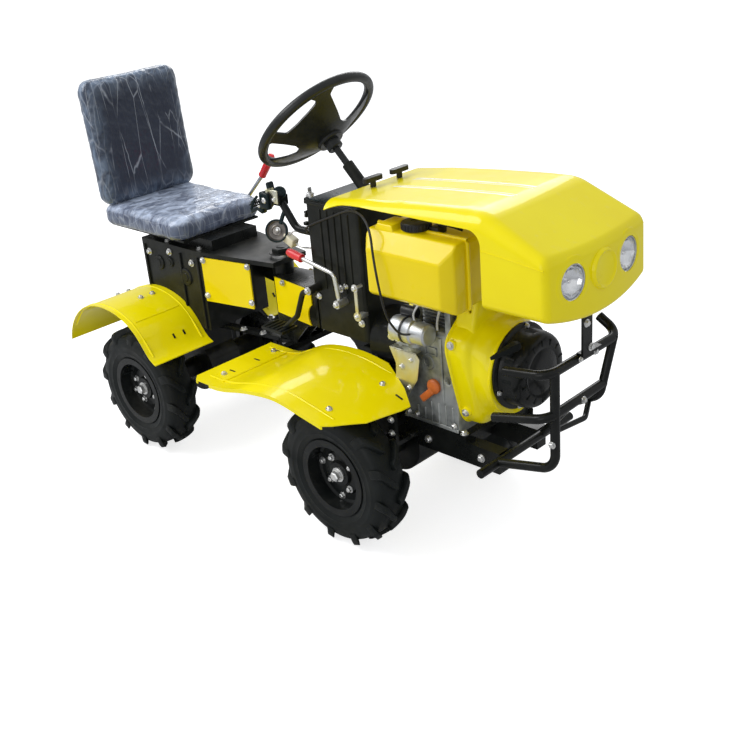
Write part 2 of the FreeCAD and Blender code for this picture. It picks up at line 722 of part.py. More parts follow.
def seat_frame():
    box_ = box(-520, -215, -90, 90, BEAM_Z1, 688)
    pan = box(SEAT_X0 + 20, SEAT_X1 - 12, -150, 150, 688, SEAT_PAN_Z)
    stay = box(SEAT_X0 - 8, SEAT_X0 + 60, -60, 60, 682, 688)
    riser = box(SEAT_X0 - 8, SEAT_X0 - 3, -40, 40, 682, SEAT_TOP_Z + 5)
    shelf = box(SEAT_X0 - 8, -610 - BACK_T + 2, -40, 40, SEAT_TOP_Z + 1, SEAT_TOP_Z + 5)
    strip = lean(box(-616 - BACK_T, -610 - BACK_T, -40, 40, SEAT_TOP_Z + 3, 960))
    return fused([box_, pan, stay, riser, shelf, strip])


def lean(shape):
    """Tips a piece back with the backrest."""
    shape.rotate(V(-610, 0, SEAT_TOP_Z), V(0, 1, 0), -BACK_RECLINE)
    return shape


def seat_cushion():
    body = box(SEAT_X0, SEAT_X1, -SEAT_HALF, SEAT_HALF, SEAT_PAN_Z, SEAT_TOP_Z)
    return body.makeFillet(24, body.Edges)


def seat_back():
    z0 = SEAT_TOP_Z + 6
    body = box(-610 - BACK_T, -610, -BACK_HALF, BACK_HALF, z0, z0 + BACK_HEIGHT)
    body = body.makeFillet(22, body.Edges)
    return lean(body)


def rear_hitch():
    plate = box(REAR_CASE_X0 - 12, REAR_CASE_X0, -70, 70, 420, 540)
    jaw = [box(REAR_CASE_X0 - 90, REAR_CASE_X0 - 12, -30, 30, 440, 452),
           box(REAR_CASE_X0 - 90, REAR_CASE_X0 - 12, -30, 30, 500, 512)]
    body = fused([plate] + jaw)
    body = body.cut(cyl(REAR_CASE_X0 - 65, 0, 400, 10, 200))
    for y in (-55, 55):
        for z in (433, 527):
            body = body.cut(cyl_x(y, z, 6.5, REAR_CASE_X0 - 20, REAR_CASE_X0 + 5))
    return body


os.makedirs("parts", exist_ok=True)
for tag, x, half in (("front", FRONT_AXLE_X, FRONT_TRACK_HALF), ("rear", REAR_AXLE_X, REAR_TRACK_HALF)):
    for name, s in (("right", -1), ("left", 1)):
        save("tyre_%s_%s" % (tag, name), tyre(x, s * half))
        save("rim_%s_%s" % (tag, name), rim(x, s * half, s))
save("front_frame", front_frame())
save("pivot_neck", pivot_neck())
save("neck_plates", neck_plates())
save("transmission_case", transmission_case())
save("front_axle", front_axle())
save("engine_crankcase", engine_crankcase())
save("engine_cylinder", engine_cylinder())
save("blower_housing", blower_housing())
save("recoil_starter", recoil_starter())
save("fuel_tank", fuel_tank())
save("fuel_cap", fuel_cap())
save("muffler", muffler())
save("air_cleaner", air_cleaner())
save("hood", hood())
save("hood_knobs", hood_knobs())
save("headlights", headlights())
save("console", console())
save("steering_wheel", steering_wheel())
save("front_fenders", both(front_fender()))
save("bumper", bumper())
save("control_arm", control_arm())
save("throttle_cable", throttle_cable())
save("pedal", pedal())
save("right_lever", right_lever())
save("right_lever_grip", right_grip())
save("rear_beam", rear_beam())
save("beam_plates", beam_plates())
save("lower_yoke", lower_yoke())
save("pivot_pin", pivot_pin())
save("rear_gearcase", rear_gearcase())
save("rear_fenders", both(rear_fender()))
save("seat_frame", seat_frame())
save("seat_cushion", seat_cushion())
save("seat_back", seat_back())
save("left_lever", left_lever())
save("left_lever_grip", left_grip())
save("rear_hitch", rear_hitch())
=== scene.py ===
# %% [markdown]
# # Dressing a ride-on tiller
# The machine is a small tractor that bends at one upright pin between its engine half and its seat half.
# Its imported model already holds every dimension, so this lesson never moves it. It gives each part the
# finish of the real thing, and adds what a drawing leaves out: tread, bolts, piping, lamp glass.

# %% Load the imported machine
import json
import math
import random

import bmesh
import bpy
import numpy as np
from mathutils import Matrix, Vector

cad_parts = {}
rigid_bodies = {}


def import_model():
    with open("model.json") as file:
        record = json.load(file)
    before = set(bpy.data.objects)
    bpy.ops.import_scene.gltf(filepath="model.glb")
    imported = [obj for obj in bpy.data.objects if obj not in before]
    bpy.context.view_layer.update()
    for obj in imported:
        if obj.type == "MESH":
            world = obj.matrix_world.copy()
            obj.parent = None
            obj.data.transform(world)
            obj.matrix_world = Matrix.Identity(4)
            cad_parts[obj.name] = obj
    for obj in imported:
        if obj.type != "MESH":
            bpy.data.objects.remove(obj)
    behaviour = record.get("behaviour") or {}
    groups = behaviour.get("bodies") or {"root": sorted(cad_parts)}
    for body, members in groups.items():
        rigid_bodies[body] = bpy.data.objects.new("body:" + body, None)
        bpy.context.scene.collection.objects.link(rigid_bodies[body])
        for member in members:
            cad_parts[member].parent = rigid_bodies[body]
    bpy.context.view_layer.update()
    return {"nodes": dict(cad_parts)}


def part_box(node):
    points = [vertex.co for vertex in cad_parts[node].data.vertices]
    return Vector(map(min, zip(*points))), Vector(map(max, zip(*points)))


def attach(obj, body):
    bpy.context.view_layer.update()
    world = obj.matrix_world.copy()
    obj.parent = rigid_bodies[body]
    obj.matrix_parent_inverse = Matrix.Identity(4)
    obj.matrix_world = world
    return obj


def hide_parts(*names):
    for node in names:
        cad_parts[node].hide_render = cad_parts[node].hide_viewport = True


for leftover in list(bpy.data.objects):
    bpy.data.objects.remove(leftover)
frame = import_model()

# %% [markdown]
# A tractor is measured from its steering pivot, in millimetres: x forward, y to the left, z up from the
# ground. Blender works in metres from the middle of the machine. One small function turns the first into
# the second, so that every size below can be read like a shop drawing. The pin's own box says where the
# pivot stands.

# %% Workshop measurements
pin_low, pin_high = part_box("pivot_pin")
PIVOT_X = (pin_low.x + pin_high.x) / 2


def at(x, y, z):
    """A point given in shop millimetres from the pivot."""
    return Vector((PIVOT_X + x / 1000, y / 1000, z / 1000))


print("pivot at x =", round(PIVOT_X, 4))

# %% [markdown]
# The camera stands off the right front corner, above the machine's top, with a moderate lens, and is tipped
# by a few degrees the way a hand-held one is. Its axes are built from compass bearing and height, which is
# easier to check than three turns in a row.

# %% Camera
def put(name, data):
    """Adds an object of some data to the scene."""
    thing = bpy.data.objects.new(name, data)
    bpy.context.scene.collection.objects.link(thing)
    return thing


CAMERA_PLACE = (2.19706, -2.0130, 1.6852)
SENSOR_MM, LENS_MM = 36, 52.706
BEARING, HEIGHT, TIP = (math.radians(v) for v in (45.539, 24.859, -4.784))
back = Vector((math.sin(BEARING) * math.cos(HEIGHT), -math.cos(BEARING) * math.cos(HEIGHT), math.sin(HEIGHT)))
across = Vector((math.cos(BEARING), math.sin(BEARING), 0))
upward = back.cross(across)
side_axis = across * math.cos(TIP) + upward * math.sin(TIP)
up_axis = upward * math.cos(TIP) - across * math.sin(TIP)
lens = bpy.data.cameras.new("camera")
lens.sensor_width, lens.lens = SENSOR_MM, LENS_MM
camera = put("camera", lens)
axes = Matrix((side_axis, up_axis, back)).transposed().to_4x4()
camera.matrix_world = Matrix.Translation(CAMERA_PLACE) @ axes
bpy.context.scene.camera = camera
print("camera", [round(v, 3) for v in camera.location])

# %% [markdown]
# The throttle cable is the one free cord on the machine. It leaves the bent control arm, runs under the eave
# of the hood, over the shoulder of the tank and down to the governor. A sheathed cable is stiff, so it goes
# in long easy curves: a NURBS spline pulls the line smoothly between a few points, where a chain of
# straight runs would look like bent wire.

# %% Throttle cable
CABLE_ROUTE = [(215, -71.8, 778), (232, -112, 804), (300, -115, 836), (365, -124, 862), (430, -142, 890),
               (498, -172, 912), (562, -205, 918), (618, -238, 900), (641, -257, 838), (655, -260, 764),
               (668, -256, 692), (668, -222, 640), (652, -176, 612), (643, -136.2, 600)]
CABLE_RADIUS = 0.003
cable_line = bpy.data.curves.new("throttle_cable_sheath", "CURVE")
cable_line.dimensions = "3D"
cable_line.bevel_depth = 1.0
cable_line.bevel_resolution = 4
cable_line.resolution_u = 12
cable_line.use_fill_caps = True
cable_spline = cable_line.splines.new("NURBS")
cable_spline.points.add(len(CABLE_ROUTE) - 1)
for knot, place in zip(cable_spline.points, CABLE_ROUTE):
    knot.co = (*at(*place), 1)
    knot.radius = CABLE_RADIUS
cable_spline.order_u = 3
cable_spline.use_endpoint_u = True
cable = put("throttle_cable_sheath", cable_line)
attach(cable, "front_chassis")
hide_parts("throttle_cable")
print("cable through", len(CABLE_ROUTE), "points")

# %% [markdown]
# The floor is a plain pale sweep. It glows a little for the camera only, so that it reads as white paper
# while the soft shadow under the wheels stays, and it adds no light to the machine.

# %% Floor and backdrop
def node_in(tree, kind, inputs=(), **settings):
    """Adds a node, sets its options and gives its inputs plain values or links."""
    node = tree.nodes.new(kind)
    for key, value in settings.items():
        setattr(node, key, value)
    for label, value in dict(inputs).items():
        if isinstance(value, bpy.types.NodeSocket):
            tree.links.new(value, node.inputs[label])
        else:
            node.inputs[label].default_value = value
    return node


EDGE, PAPER_GLOW = 30, 0.74
floor_mesh = bpy.data.meshes.new("floor")
floor_mesh.from_pydata([(-EDGE, -EDGE, 0), (EDGE, -EDGE, 0), (EDGE, EDGE, 0), (-EDGE, EDGE, 0)], [],
                       [(0, 1, 2, 3)])
floor = put("floor", floor_mesh)
paper = bpy.data.materials.new("floor_paper")
paper.use_nodes = True
tree = paper.node_tree
tree.nodes.clear()
matte = node_in(tree, "ShaderNodeBsdfDiffuse", {"Color": (0.6, 0.6, 0.61, 1)})
seen = node_in(tree, "ShaderNodeLightPath").outputs["Is Camera Ray"]
lift = node_in(tree, "ShaderNodeMath", {0: seen, 1: PAPER_GLOW}, operation="MULTIPLY")
glow = node_in(tree, "ShaderNodeEmission", {"Strength": lift.outputs[0]})
both_lit = node_in(tree, "ShaderNodeAddShader", {0: matte.outputs[0], 1: glow.outputs[0]})
node_in(tree, "ShaderNodeOutputMaterial", {"Surface": both_lit.outputs[0]})
floor_mesh.materials.append(paper)

# %% [markdown]
# Open shade lights this machine: an even sky, one broad pale patch high behind the right side that puts the
# gloss on the hood's shoulder, one behind the left side for the level top, and a weak fill from the right.
# The nose turns away from them all, so it goes a shade deeper.

# %% World and lamps
world = bpy.data.worlds.new("sky")
bpy.context.scene.world = world
world.use_nodes = True
tree = world.node_tree
seen = node_in(tree, "ShaderNodeLightPath").outputs["Is Camera Ray"]
level = node_in(tree, "ShaderNodeMapRange", {"Value": seen, "To Min": 0.7, "To Max": 1.05})
sky = tree.nodes["Background"]
sky.inputs["Color"].default_value = (0.96, 0.98, 1.0, 1)
tree.links.new(level.outputs["Result"], sky.inputs["Strength"])


def softbox(name, place, target, size, power):
    """A broad lamp turned to a target and hidden from the camera."""
    lamp = bpy.data.lights.new(name, "AREA")
    lamp.shape, lamp.size, lamp.size_y = "RECTANGLE", size[0], size[1]
    lamp.energy = power
    box = put(name, lamp)
    box.location = place
    box.rotation_euler = (Vector(target) - Vector(place)).to_track_quat("-Z", "Y").to_euler()
    box.visible_camera = False


softbox("shoulder_light", (-1.6, -1.7, 3.1), (0.3, 0, 0.7), (2.4, 1.6), 62)
softbox("top_light", (-2.3, 2.9, 2.9), (0.4, 0, 0.9), (3.0, 1.6), 60)
softbox("side_fill", (1.2, -3.6, 1.5), (0.1, 0, 0.5), (2.2, 2.0), 18)
bpy.context.scene.view_settings.view_transform = "Standard"
print("three soft lights")

# %% [markdown]
# ## Finishes
# Each finish is a small tree of nodes on the object's own coordinates. A few short helpers keep the trees
# readable: a cloud of noise, a ramp of colours, a range, and a relief that tips the surface. The numbers
# that are the same all over go straight on the shader.

# %% Finish helpers
def finish(name, roughness=0.5, **values):
    """A new material with its shader set from plain values."""
    material = bpy.data.materials.new(name)
    material.use_nodes = True
    shader = material.node_tree.nodes["Principled BSDF"]
    shader.inputs["Roughness"].default_value = roughness
    for key, value in values.items():
        socket = "Specular IOR Level" if key == "specular" else key.replace("_", " ").title()
        shader.inputs[socket].default_value = value
    return material, material.node_tree, shader


def spot(tree, stretch=(1, 1, 1), turn=(0, 0, 0)):
    """Object coordinates, stretched or turned."""
    coords = node_in(tree, "ShaderNodeTexCoord").outputs["Object"]
    return node_in(tree, "ShaderNodeMapping", {"Vector": coords, "Scale": stretch,
                                               "Rotation": turn}).outputs["Vector"]


def cloud(tree, scale, detail=3.0, stretch=(1, 1, 1), turn=(0, 0, 0), distortion=0.0):
    """Soft noise over the object."""
    return node_in(tree, "ShaderNodeTexNoise", {"Vector": spot(tree, stretch, turn), "Scale": scale,
                                                "Detail": detail, "Distortion": distortion}).outputs["Fac"]


def ramp(tree, value, *stops):
    """Colours or greys along a value: stops are (place, colour)."""
    node = node_in(tree, "ShaderNodeValToRGB", {"Fac": value})
    bar = node.color_ramp
    while len(bar.elements) < len(stops):
        bar.elements.new(0.5)
    for element, (place, colour) in zip(bar.elements, stops):
        element.position = place
        element.color = (*colour, 1) if isinstance(colour, tuple) else (colour, colour, colour, 1)
    return node.outputs["Color"]


def uneven_gloss(tree, shader, scale, detail, low, high):
    """Lets the roughness wander between two values, since noise stays round one half."""
    wander = node_in(tree, "ShaderNodeMapRange", {"Value": cloud(tree, scale, detail), "From Min": 0.3,
                                                  "From Max": 0.7, "To Min": low, "To Max": high})
    tree.links.new(wander.outputs["Result"], shader.inputs["Roughness"])


def blend_in(tree, amount, under, over):
    """Lays one colour over another by an amount."""
    under, over = ((*c, 1) if isinstance(c, tuple) else c for c in (under, over))
    return node_in(tree, "ShaderNodeMix", {0: amount, 6: under, 7: over}, data_type="RGBA").outputs[2]


def relief(tree, shader, value, height, strength=1.0, below=None):
    """Tips the surface by a height in metres; below is an earlier relief to add to."""
    node = node_in(tree, "ShaderNodeBump", {"Height": value, "Distance": height, "Strength": strength})
    if below is not None:
        tree.links.new(below, node.inputs["Normal"])
    tree.links.new(node.outputs["Normal"], shader.inputs["Normal"])
    return node.outputs["Normal"]


def facing_up(tree, start=0.2, stop=0.95):
    """How far a surface looks to the sky, where dust settles; on the seat film it places a painted sheen."""
    normal = node_in(tree, "ShaderNodeNewGeometry").outputs["Normal"]
    parts = node_in(tree, "ShaderNodeSeparateXYZ", {0: normal})
    return node_in(tree, "ShaderNodeMapRange", {"Value": parts.outputs["Z"], "From Min": start,
                                                "From Max": stop}).outputs["Result"]


def times(tree, a, b):
    """Product of two values or links."""
    return node_in(tree, "ShaderNodeMath", {0: a, 1: b}, operation="MULTIPLY").outputs[0]


def plus(tree, a, b):
    """Sum of two values or links, kept between nothing and one."""
    return node_in(tree, "ShaderNodeMath", {0: a, 1: b}, operation="ADD", use_clamp=True).outputs[0]


# %% [markdown]
# **Yellow sheet metal.** The hood, fenders, blower and plates are sprayed a clean lemon yellow. Spray paint
# dries with a faint orange-peel, lies a little thicker in places, and takes a film of dust on top. A
# clear coat layer gives the hard shine over a softer colour.

# %% Yellow paint
def yellow_finish(name, bright, deep, dust=0.08, peel=0.00012):
    """Sprayed yellow with its thickness, dust and orange-peel."""
    material, tree, shader = finish(name, 0.34, coat_weight=0.4, coat_roughness=0.08, specular=0.12)
    body = ramp(tree, cloud(tree, 3.2, 4), (0.32, deep), (0.62, bright))
    specks = ramp(tree, cloud(tree, 46, 5), (0.6, 0.0), (0.74, 1.0))
    film = times(tree, times(tree, facing_up(tree), specks), dust)
    tree.links.new(blend_in(tree, film, body, (0.74, 0.68, 0.42)), shader.inputs["Base Color"])
    uneven_gloss(tree, shader, 14, 5, 0.27, 0.42)
    waves = relief(tree, shader, cloud(tree, 9, 2), 0.0012, 0.35)
    relief(tree, shader, cloud(tree, 420, 2), peel, 0.6, waves)
    return material


yellow_paint = yellow_finish("yellow_paint", (0.93, 0.80, 0.0), (0.88, 0.73, 0.0))
tank_paint = yellow_finish("tank_paint", (0.89, 0.71, 0.002), (0.82, 0.62, 0.002), 0.12, 0.0002)
plate_paint = yellow_finish("plate_paint", (0.93, 0.74, 0.0), (0.88, 0.66, 0.0))
print("yellow paints")

# %% [markdown]
# **Black frame paint** is thinner and glossier over rough steel: scale and weld spatter show through, and
# road dust browns its upper faces. **Rims and beams** share it.

# %% Black paint
def black_finish(name, roughness, dust, base=(0.0055, 0.0062, 0.0058)):
    """Black over rough steel, browned by dust on top."""
    material, tree, shader = finish(name, roughness, coat_weight=0.14, coat_roughness=0.1, specular=0.13)
    body = ramp(tree, cloud(tree, 22, 5), (0.35, base), (0.7, tuple(1.9 * v for v in base)))
    patches = ramp(tree, cloud(tree, 11, 6), (0.46, 0.0), (0.72, 1.0))
    film = times(tree, times(tree, facing_up(tree, -0.2), patches), dust)
    tree.links.new(blend_in(tree, film, body, (0.15, 0.135, 0.105)), shader.inputs["Base Color"])
    uneven_gloss(tree, shader, 17, 5, roughness - 0.07, roughness + 0.13)
    scale = relief(tree, shader, cloud(tree, 150, 4), 0.0004, 0.45)
    relief(tree, shader, cloud(tree, 24, 3), 0.0009, 0.3, scale)
    return material


black_paint = black_finish("black_paint", 0.26, 0.08)
wheel_paint = black_finish("wheel_paint", 0.3, 0.14, (0.007, 0.008, 0.008))
dark_iron = black_finish("dark_iron", 0.36, 0.2, (0.007, 0.008, 0.0075))
column_paint = black_finish("column_paint", 0.26, 0.06, (0.005, 0.012, 0.014))
console_paint = black_finish("console_paint", 0.4, 0.16, (0.0065, 0.0075, 0.006))
print("black paints")

# %% [markdown]
# **Tyre rubber** is nearly black and matt. Clay dries pale in its fine cracks and on the sidewall, and the
# tread blocks are a little shinier where the mould pressed them.

# %% Rubber
def rubber_finish(name, roughness, dust):
    """Dark rubber with dried clay in its hollows."""
    material, tree, shader = finish(name, roughness, specular=0.16)
    body = ramp(tree, cloud(tree, 12, 5), (0.3, (0.005, 0.0065, 0.0062)), (0.7, (0.010, 0.0125, 0.0125)))
    clay = times(tree, ramp(tree, cloud(tree, 7, 7), (0.48, 0.0), (0.78, 1.0)), dust)
    tree.links.new(blend_in(tree, clay, body, (0.16, 0.145, 0.12)), shader.inputs["Base Color"])
    uneven_gloss(tree, shader, 30, 4, roughness - 0.1, roughness + 0.1)
    grain = relief(tree, shader, cloud(tree, 700, 3), 0.0002, 0.5)
    relief(tree, shader, cloud(tree, 60, 4), 0.0006, 0.35, grain)
    return material


tyre_rubber = rubber_finish("tyre_rubber", 0.44, 0.06)
soft_rubber = rubber_finish("soft_rubber", 0.55, 0.05)

# %% [markdown]
# **Bare metals.** The engine is sand-cast aluminium, grainy and grey with oily hollows. Bolts and rods are
# bright zinc; the bracket beside the engine is yellow zinc, which shows faint rainbow stains.

# %% Metals
def metal_finish(name, light, dark, roughness, grain, scale=90.0, metallic=0.9, stain=None):
    """Bare metal between a light and a dark tone, with a grain and perhaps a stain."""
    material, tree, shader = finish(name, roughness, metallic=metallic)
    body = ramp(tree, cloud(tree, 16, 6), (0.36, dark), (0.62, light))
    if stain is not None:
        amount = ramp(tree, cloud(tree, 9, 3, distortion=1.2), (0.45, 0.0), (0.62, 0.8))
        body = blend_in(tree, amount, body, stain)
    tree.links.new(body, shader.inputs["Base Color"])
    uneven_gloss(tree, shader, 28, 5, roughness - 0.1, roughness + 0.14)
    relief(tree, shader, cloud(tree, scale, 5), grain, 0.7)
    return material


cast_alloy = metal_finish("cast_alloy", (0.46, 0.48, 0.47), (0.15, 0.16, 0.155), 0.46, 0.0006, 160, 0.65)
machined_alloy = metal_finish("machined_alloy", (0.66, 0.68, 0.70), (0.44, 0.46, 0.48), 0.38, 0.0001, 260)
horn_steel = metal_finish("horn_steel", (0.34, 0.31, 0.28), (0.10, 0.095, 0.09), 0.3, 0.0001, 90)
zinc_steel = metal_finish("zinc_steel", (0.78, 0.78, 0.77), (0.55, 0.55, 0.54), 0.32, 0.0001, 200)
yellow_zinc = metal_finish("yellow_zinc", (0.74, 0.68, 0.40), (0.62, 0.58, 0.36), 0.3, 0.0001, 120, 0.85,
                           (0.72, 0.74, 0.70))
burnt_steel = metal_finish("burnt_steel", (0.10, 0.085, 0.075), (0.045, 0.04, 0.038), 0.6, 0.0004, 80, 0.7,
                           (0.16, 0.07, 0.03))
print("metals")

# %% [markdown]
# **Moulded plastic and vinyl.** Knobs, cap and wheel rim are black plastic with a fine leather pressing. The
# lever grips are red vinyl sleeves, and the oil cap is an orange-brown moulding.

# %% Plastics
def plastic_finish(name, colour, roughness, grain=0.0002, scale=500.0, coat=0.0):
    """Moulded plastic, a little paler where it is worn."""
    material, tree, shader = finish(name, roughness, coat_weight=coat, coat_roughness=0.2, specular=0.35)
    worn = tuple(min(1.0, 1.45 * v + 0.003) for v in colour)
    body = ramp(tree, cloud(tree, 26, 5), (0.38, colour), (0.72, worn))
    tree.links.new(body, shader.inputs["Base Color"])
    uneven_gloss(tree, shader, 60, 4, roughness - 0.06, roughness + 0.1)
    relief(tree, shader, cloud(tree, scale, 3), grain, 0.55)
    return material


black_plastic = plastic_finish("black_plastic", (0.008, 0.008, 0.009), 0.36)
wheel_plastic = plastic_finish("wheel_plastic", (0.008, 0.009, 0.009), 0.36, 0.00006, 420, 0.1)
cable_skin = plastic_finish("cable_skin", (0.009, 0.009, 0.010), 0.4, 0.0001, 900)
red_vinyl = plastic_finish("red_vinyl", (0.62, 0.022, 0.028), 0.33, 0.0001, 300, 0.4)
orange_plastic = plastic_finish("orange_plastic", (0.48, 0.115, 0.02), 0.4)
cream_plastic = plastic_finish("cream_plastic", (0.60, 0.56, 0.42), 0.45)
pale_stripe = plastic_finish("pale_stripe", (0.80, 0.78, 0.68), 0.3, 0.00005, 300, 0.5)
cable_line.materials.append(cable_skin)

# %% [markdown]
# **Lamps.** A chromed bowl sits behind a clear pressed lens. The lens is a smooth dielectric with a little
# colour of its own, and the bowl does the shining.

# %% Lamp finishes
chrome, tree, shader = finish("chrome_bowl", 0.08, metallic=1.0)
tree.links.new(ramp(tree, cloud(tree, 30, 2), (0.4, (0.72, 0.73, 0.75)), (0.6, (0.9, 0.9, 0.91))),
               shader.inputs["Base Color"])
relief(tree, shader, cloud(tree, 140, 1, stretch=(1, 1, 0.3)), 0.0012, 0.8)
lamp_lens, tree, shader = finish("lamp_lens", 0.03, transmission_weight=1.0)
shader.inputs["IOR"].default_value = 1.2
tree.links.new(ramp(tree, cloud(tree, 20, 2), (0.3, (0.96, 0.97, 0.98)), (0.7, (1.0, 1.0, 1.0))),
               shader.inputs["Base Color"])
relief(tree, shader, cloud(tree, 95, 1, stretch=(1, 1, 0.25)), 0.0006, 0.5)

# %% [markdown]
# ** Seat cloth under packing film.** The cushions are navy cloth still in their clear shipping film. The film
# is thin and shiny: it creases in long straight folds that fan out from the corners, and the light that each
# crease catches is painted into the colour as a thin whitish streak. The borders between stretched cells give
# such straight lines. The film's sheen is painted in too: a pale haze, partly the film's own and partly
# painted sheen, made paler towards the rim by a value stored on the pad, called film, and paler on faces that
# look up.

# %% Film-wrapped cloth
def creases(tree, scale, stretch, turn, width):
    """Thin straight lines between stretched cells, as creased film has; they carry its painted glints."""
    cells = node_in(tree, "ShaderNodeTexVoronoi", {"Vector": spot(tree, stretch, turn), "Scale": scale},
                    feature="DISTANCE_TO_EDGE")
    return ramp(tree, cells.outputs["Distance"], (0.0, 1.0), (width, 0.0))


def wrapped_cloth(name, deep, haze_and_sheen, middle_haze_and_sheen, rim_painted_sheen, top_painted_sheen, lines):
    """Dark weave under a pale film haze, with painted sheen on rims and upward faces and painted glints along
    the creases.
    """
    material, tree, shader = finish(name, 0.34, coat_weight=0.5, coat_roughness=0.1, sheen_weight=0.06,
                                    specular=0.2)
    weave = cloud(tree, 900, 2, (1, 0.4, 1))
    cloth = ramp(tree, weave, (0.3, deep), (0.7, tuple(1.7 * v for v in deep)))
    film = node_in(tree, "ShaderNodeAttribute", attribute_name="film").outputs["Fac"]
    # The amount of pale is the film's haze in the middle plus painted sheen at the rim and on faces that look
    # up.
    amount = plus(tree, plus(tree, times(tree, film, rim_painted_sheen), middle_haze_and_sheen),
                  times(tree, facing_up(tree, 0.3, 0.9), top_painted_sheen))
    mist = ramp(tree, cloud(tree, 30, 6, stretch=(1, 0.6, 0.5), distortion=1.0), (0.38, 0.2), (0.64, 1.0))
    colour = blend_in(tree, times(tree, amount, mist), cloth, haze_and_sheen)
    normal = relief(tree, shader, weave, 0.0002, 0.3)
    for scale, stretch, turn, width, strength, at_rim in lines:
        crease_glint = creases(tree, scale, stretch, turn, width)
        patch = film if at_rim else ramp(tree, cloud(tree, 8, 3, distortion=0.4), (0.45, 0.0), (0.57, 1.0))
        # Painted glint: each crease line is blended towards a pale blue-white where the fold would catch the
        # light; the same line also tips the surface as a real fold.
        colour = blend_in(tree, times(tree, times(tree, crease_glint, patch), strength), colour, (0.74, 0.79, 0.88))
        normal = relief(tree, shader, crease_glint, 0.0012, 0.5, normal)
    tree.links.new(colour, shader.inputs["Base Color"])
    relief(tree, shader, cloud(tree, 30, 5), 0.004, 0.5, normal)
    return material


back_cloth = wrapped_cloth("back_cloth", (0.010, 0.014, 0.028), (0.22, 0.29, 0.40), 0.03, 0.62, 0.5,
                           ((8, (1, 1, 0.2), (0.28, 0, 0), 0.009, 0.42, False),
                            (15, (1, 1, 0.2), (-0.6, 0, 0), 0.016, 0.36, False),
                            (36, (1, 1, 0.2), (0.1, 0, 0), 0.05, 0.22, True)))
seat_cloth = wrapped_cloth("seat_cloth", (0.022, 0.032, 0.066), (0.50, 0.58, 0.74), 0.1, 0.14, 1.0,
                           ((14, (1, 0.17, 1), (0, 0, 0.12), 0.018, 0.35, False),
                            (18, (0.2, 1, 1), (0, 0, 0.5), 0.02, 0.3, False),
                            (40, (1, 1, 0.2), (0.15, 0.1, 0), 0.05, 0.24, True)))
print("seat cloth")

# %% [markdown]
# ## Shapes
# Every added piece is built in shop millimetres and turned into metres at the end, with its place in its
# mesh. A *turned* part comes from a profile spun round an axis, a *rod* is a swept circle, and a *block*
# is a box with broken edges. Pieces of one finish that belong together become one object.

# %% Shape helpers
def around(steps):
    """Cosine and sine of even steps round a circle."""
    return [(math.cos(2 * math.pi * k / steps), math.sin(2 * math.pi * k / steps)) for k in range(steps)]


def loft(rows, closed=False):
    """A skin over rings of points that ends in flat faces or, when closed, runs round to its start."""
    bm = bmesh.new()
    rings = [[bm.verts.new(p) for p in row] for row in rows]
    for a, b in list(zip(rings, rings[1:])) + ([(rings[-1], rings[0])] if closed else []):
        for k in range(len(a)):
            after = (k + 1) % len(a)
            bm.faces.new((a[k], a[after], b[after], b[k]))
    if not closed:
        bm.faces.new(rings[0][::-1])
        bm.faces.new(rings[-1])
    bmesh.ops.recalc_face_normals(bm, faces=bm.faces)
    return bm


def basis(direction):
    """A turn that carries local +Z to a direction."""
    return Vector(direction).normalized().to_track_quat("Z", "X").to_matrix().to_4x4()


def turned(profile, centre, direction=(0, 0, 1), steps=40, close=False):
    """Spins (radius, height) points round a direction through a centre."""
    bm = bmesh.new()
    rows = []
    for r, h in profile:
        rows.append([bm.verts.new((r * c, r * s, h)) for c, s in around(1 if r < 1e-6 else steps)])
    pairs = list(zip(rows, rows[1:])) + ([(rows[-1], rows[0])] if close else [])
    for low, high in pairs:
        for i in range(steps):
            after = i + 1
            quad = [low[i % len(low)], low[after % len(low)], high[after % len(high)], high[i % len(high)]]
            corner = [v for k, v in enumerate(quad) if v not in quad[:k]]
            if len(corner) > 2:
                bm.faces.new(corner)
    for end in () if close else (rows[0], rows[-1]):
        if len(end) > 1:
            bm.faces.new(end)
    bmesh.ops.recalc_face_normals(bm, faces=bm.faces)
    bm.transform(Matrix.Translation(Vector(centre)) @ basis(direction))
    return bm


def block(x0, x1, y0, y1, z0, z1, edge=1.5, turn=None):
    """Box with broken edges, turned about its own middle."""
    bm = bmesh.new()
    bmesh.ops.create_cube(bm, size=1)
    bm.transform(Matrix.Diagonal((x1 - x0, y1 - y0, z1 - z0, 1)))
    bmesh.ops.bevel(bm, geom=list(bm.edges), offset=edge, segments=3, profile=0.5, affect="EDGES")
    if turn is not None:
        bm.transform(turn.to_4x4())
    bm.transform(Matrix.Translation(((x0 + x1) / 2, (y0 + y1) / 2, (z0 + z1) / 2)))
    return bm


def rod(points, r, steps=10, rounding=4, closed=False):
    """Swept round bar along a smooth line through points."""
    pts = [Vector(p) for p in points]
    line = []
    n = len(pts)
    for i in range(n if closed else n - 1):
        near = [(i + k) % n if closed else min(max(i + k, 0), n - 1) for k in (-1, 0, 1, 2)]
        p0, p1, p2, p3 = (pts[k] for k in near)
        for s in range(rounding):
            t = s / rounding
            line.append(0.5 * ((2 * p1) + (p2 - p0) * t + (2 * p0 - 5 * p1 + 4 * p2 - p3) * t * t
                               + (3 * p1 - p0 - 3 * p2 + p3) * t ** 3))
    if not closed:
        line.append(pts[-1])
    rows = []
    side = None
    for i, p in enumerate(line):
        after = line[(i + 1) % len(line)] if closed or i < len(line) - 1 else p
        before = line[i - 1] if closed or i > 0 else p
        along = (after - before).normalized()
        if side is None:
            side = along.orthogonal().normalized()
        side = (side - along * side.dot(along)).normalized()
        other = along.cross(side)
        rows.append([p + (side * c + other * s) * r for c, s in around(steps)])
    return loft(rows, closed)


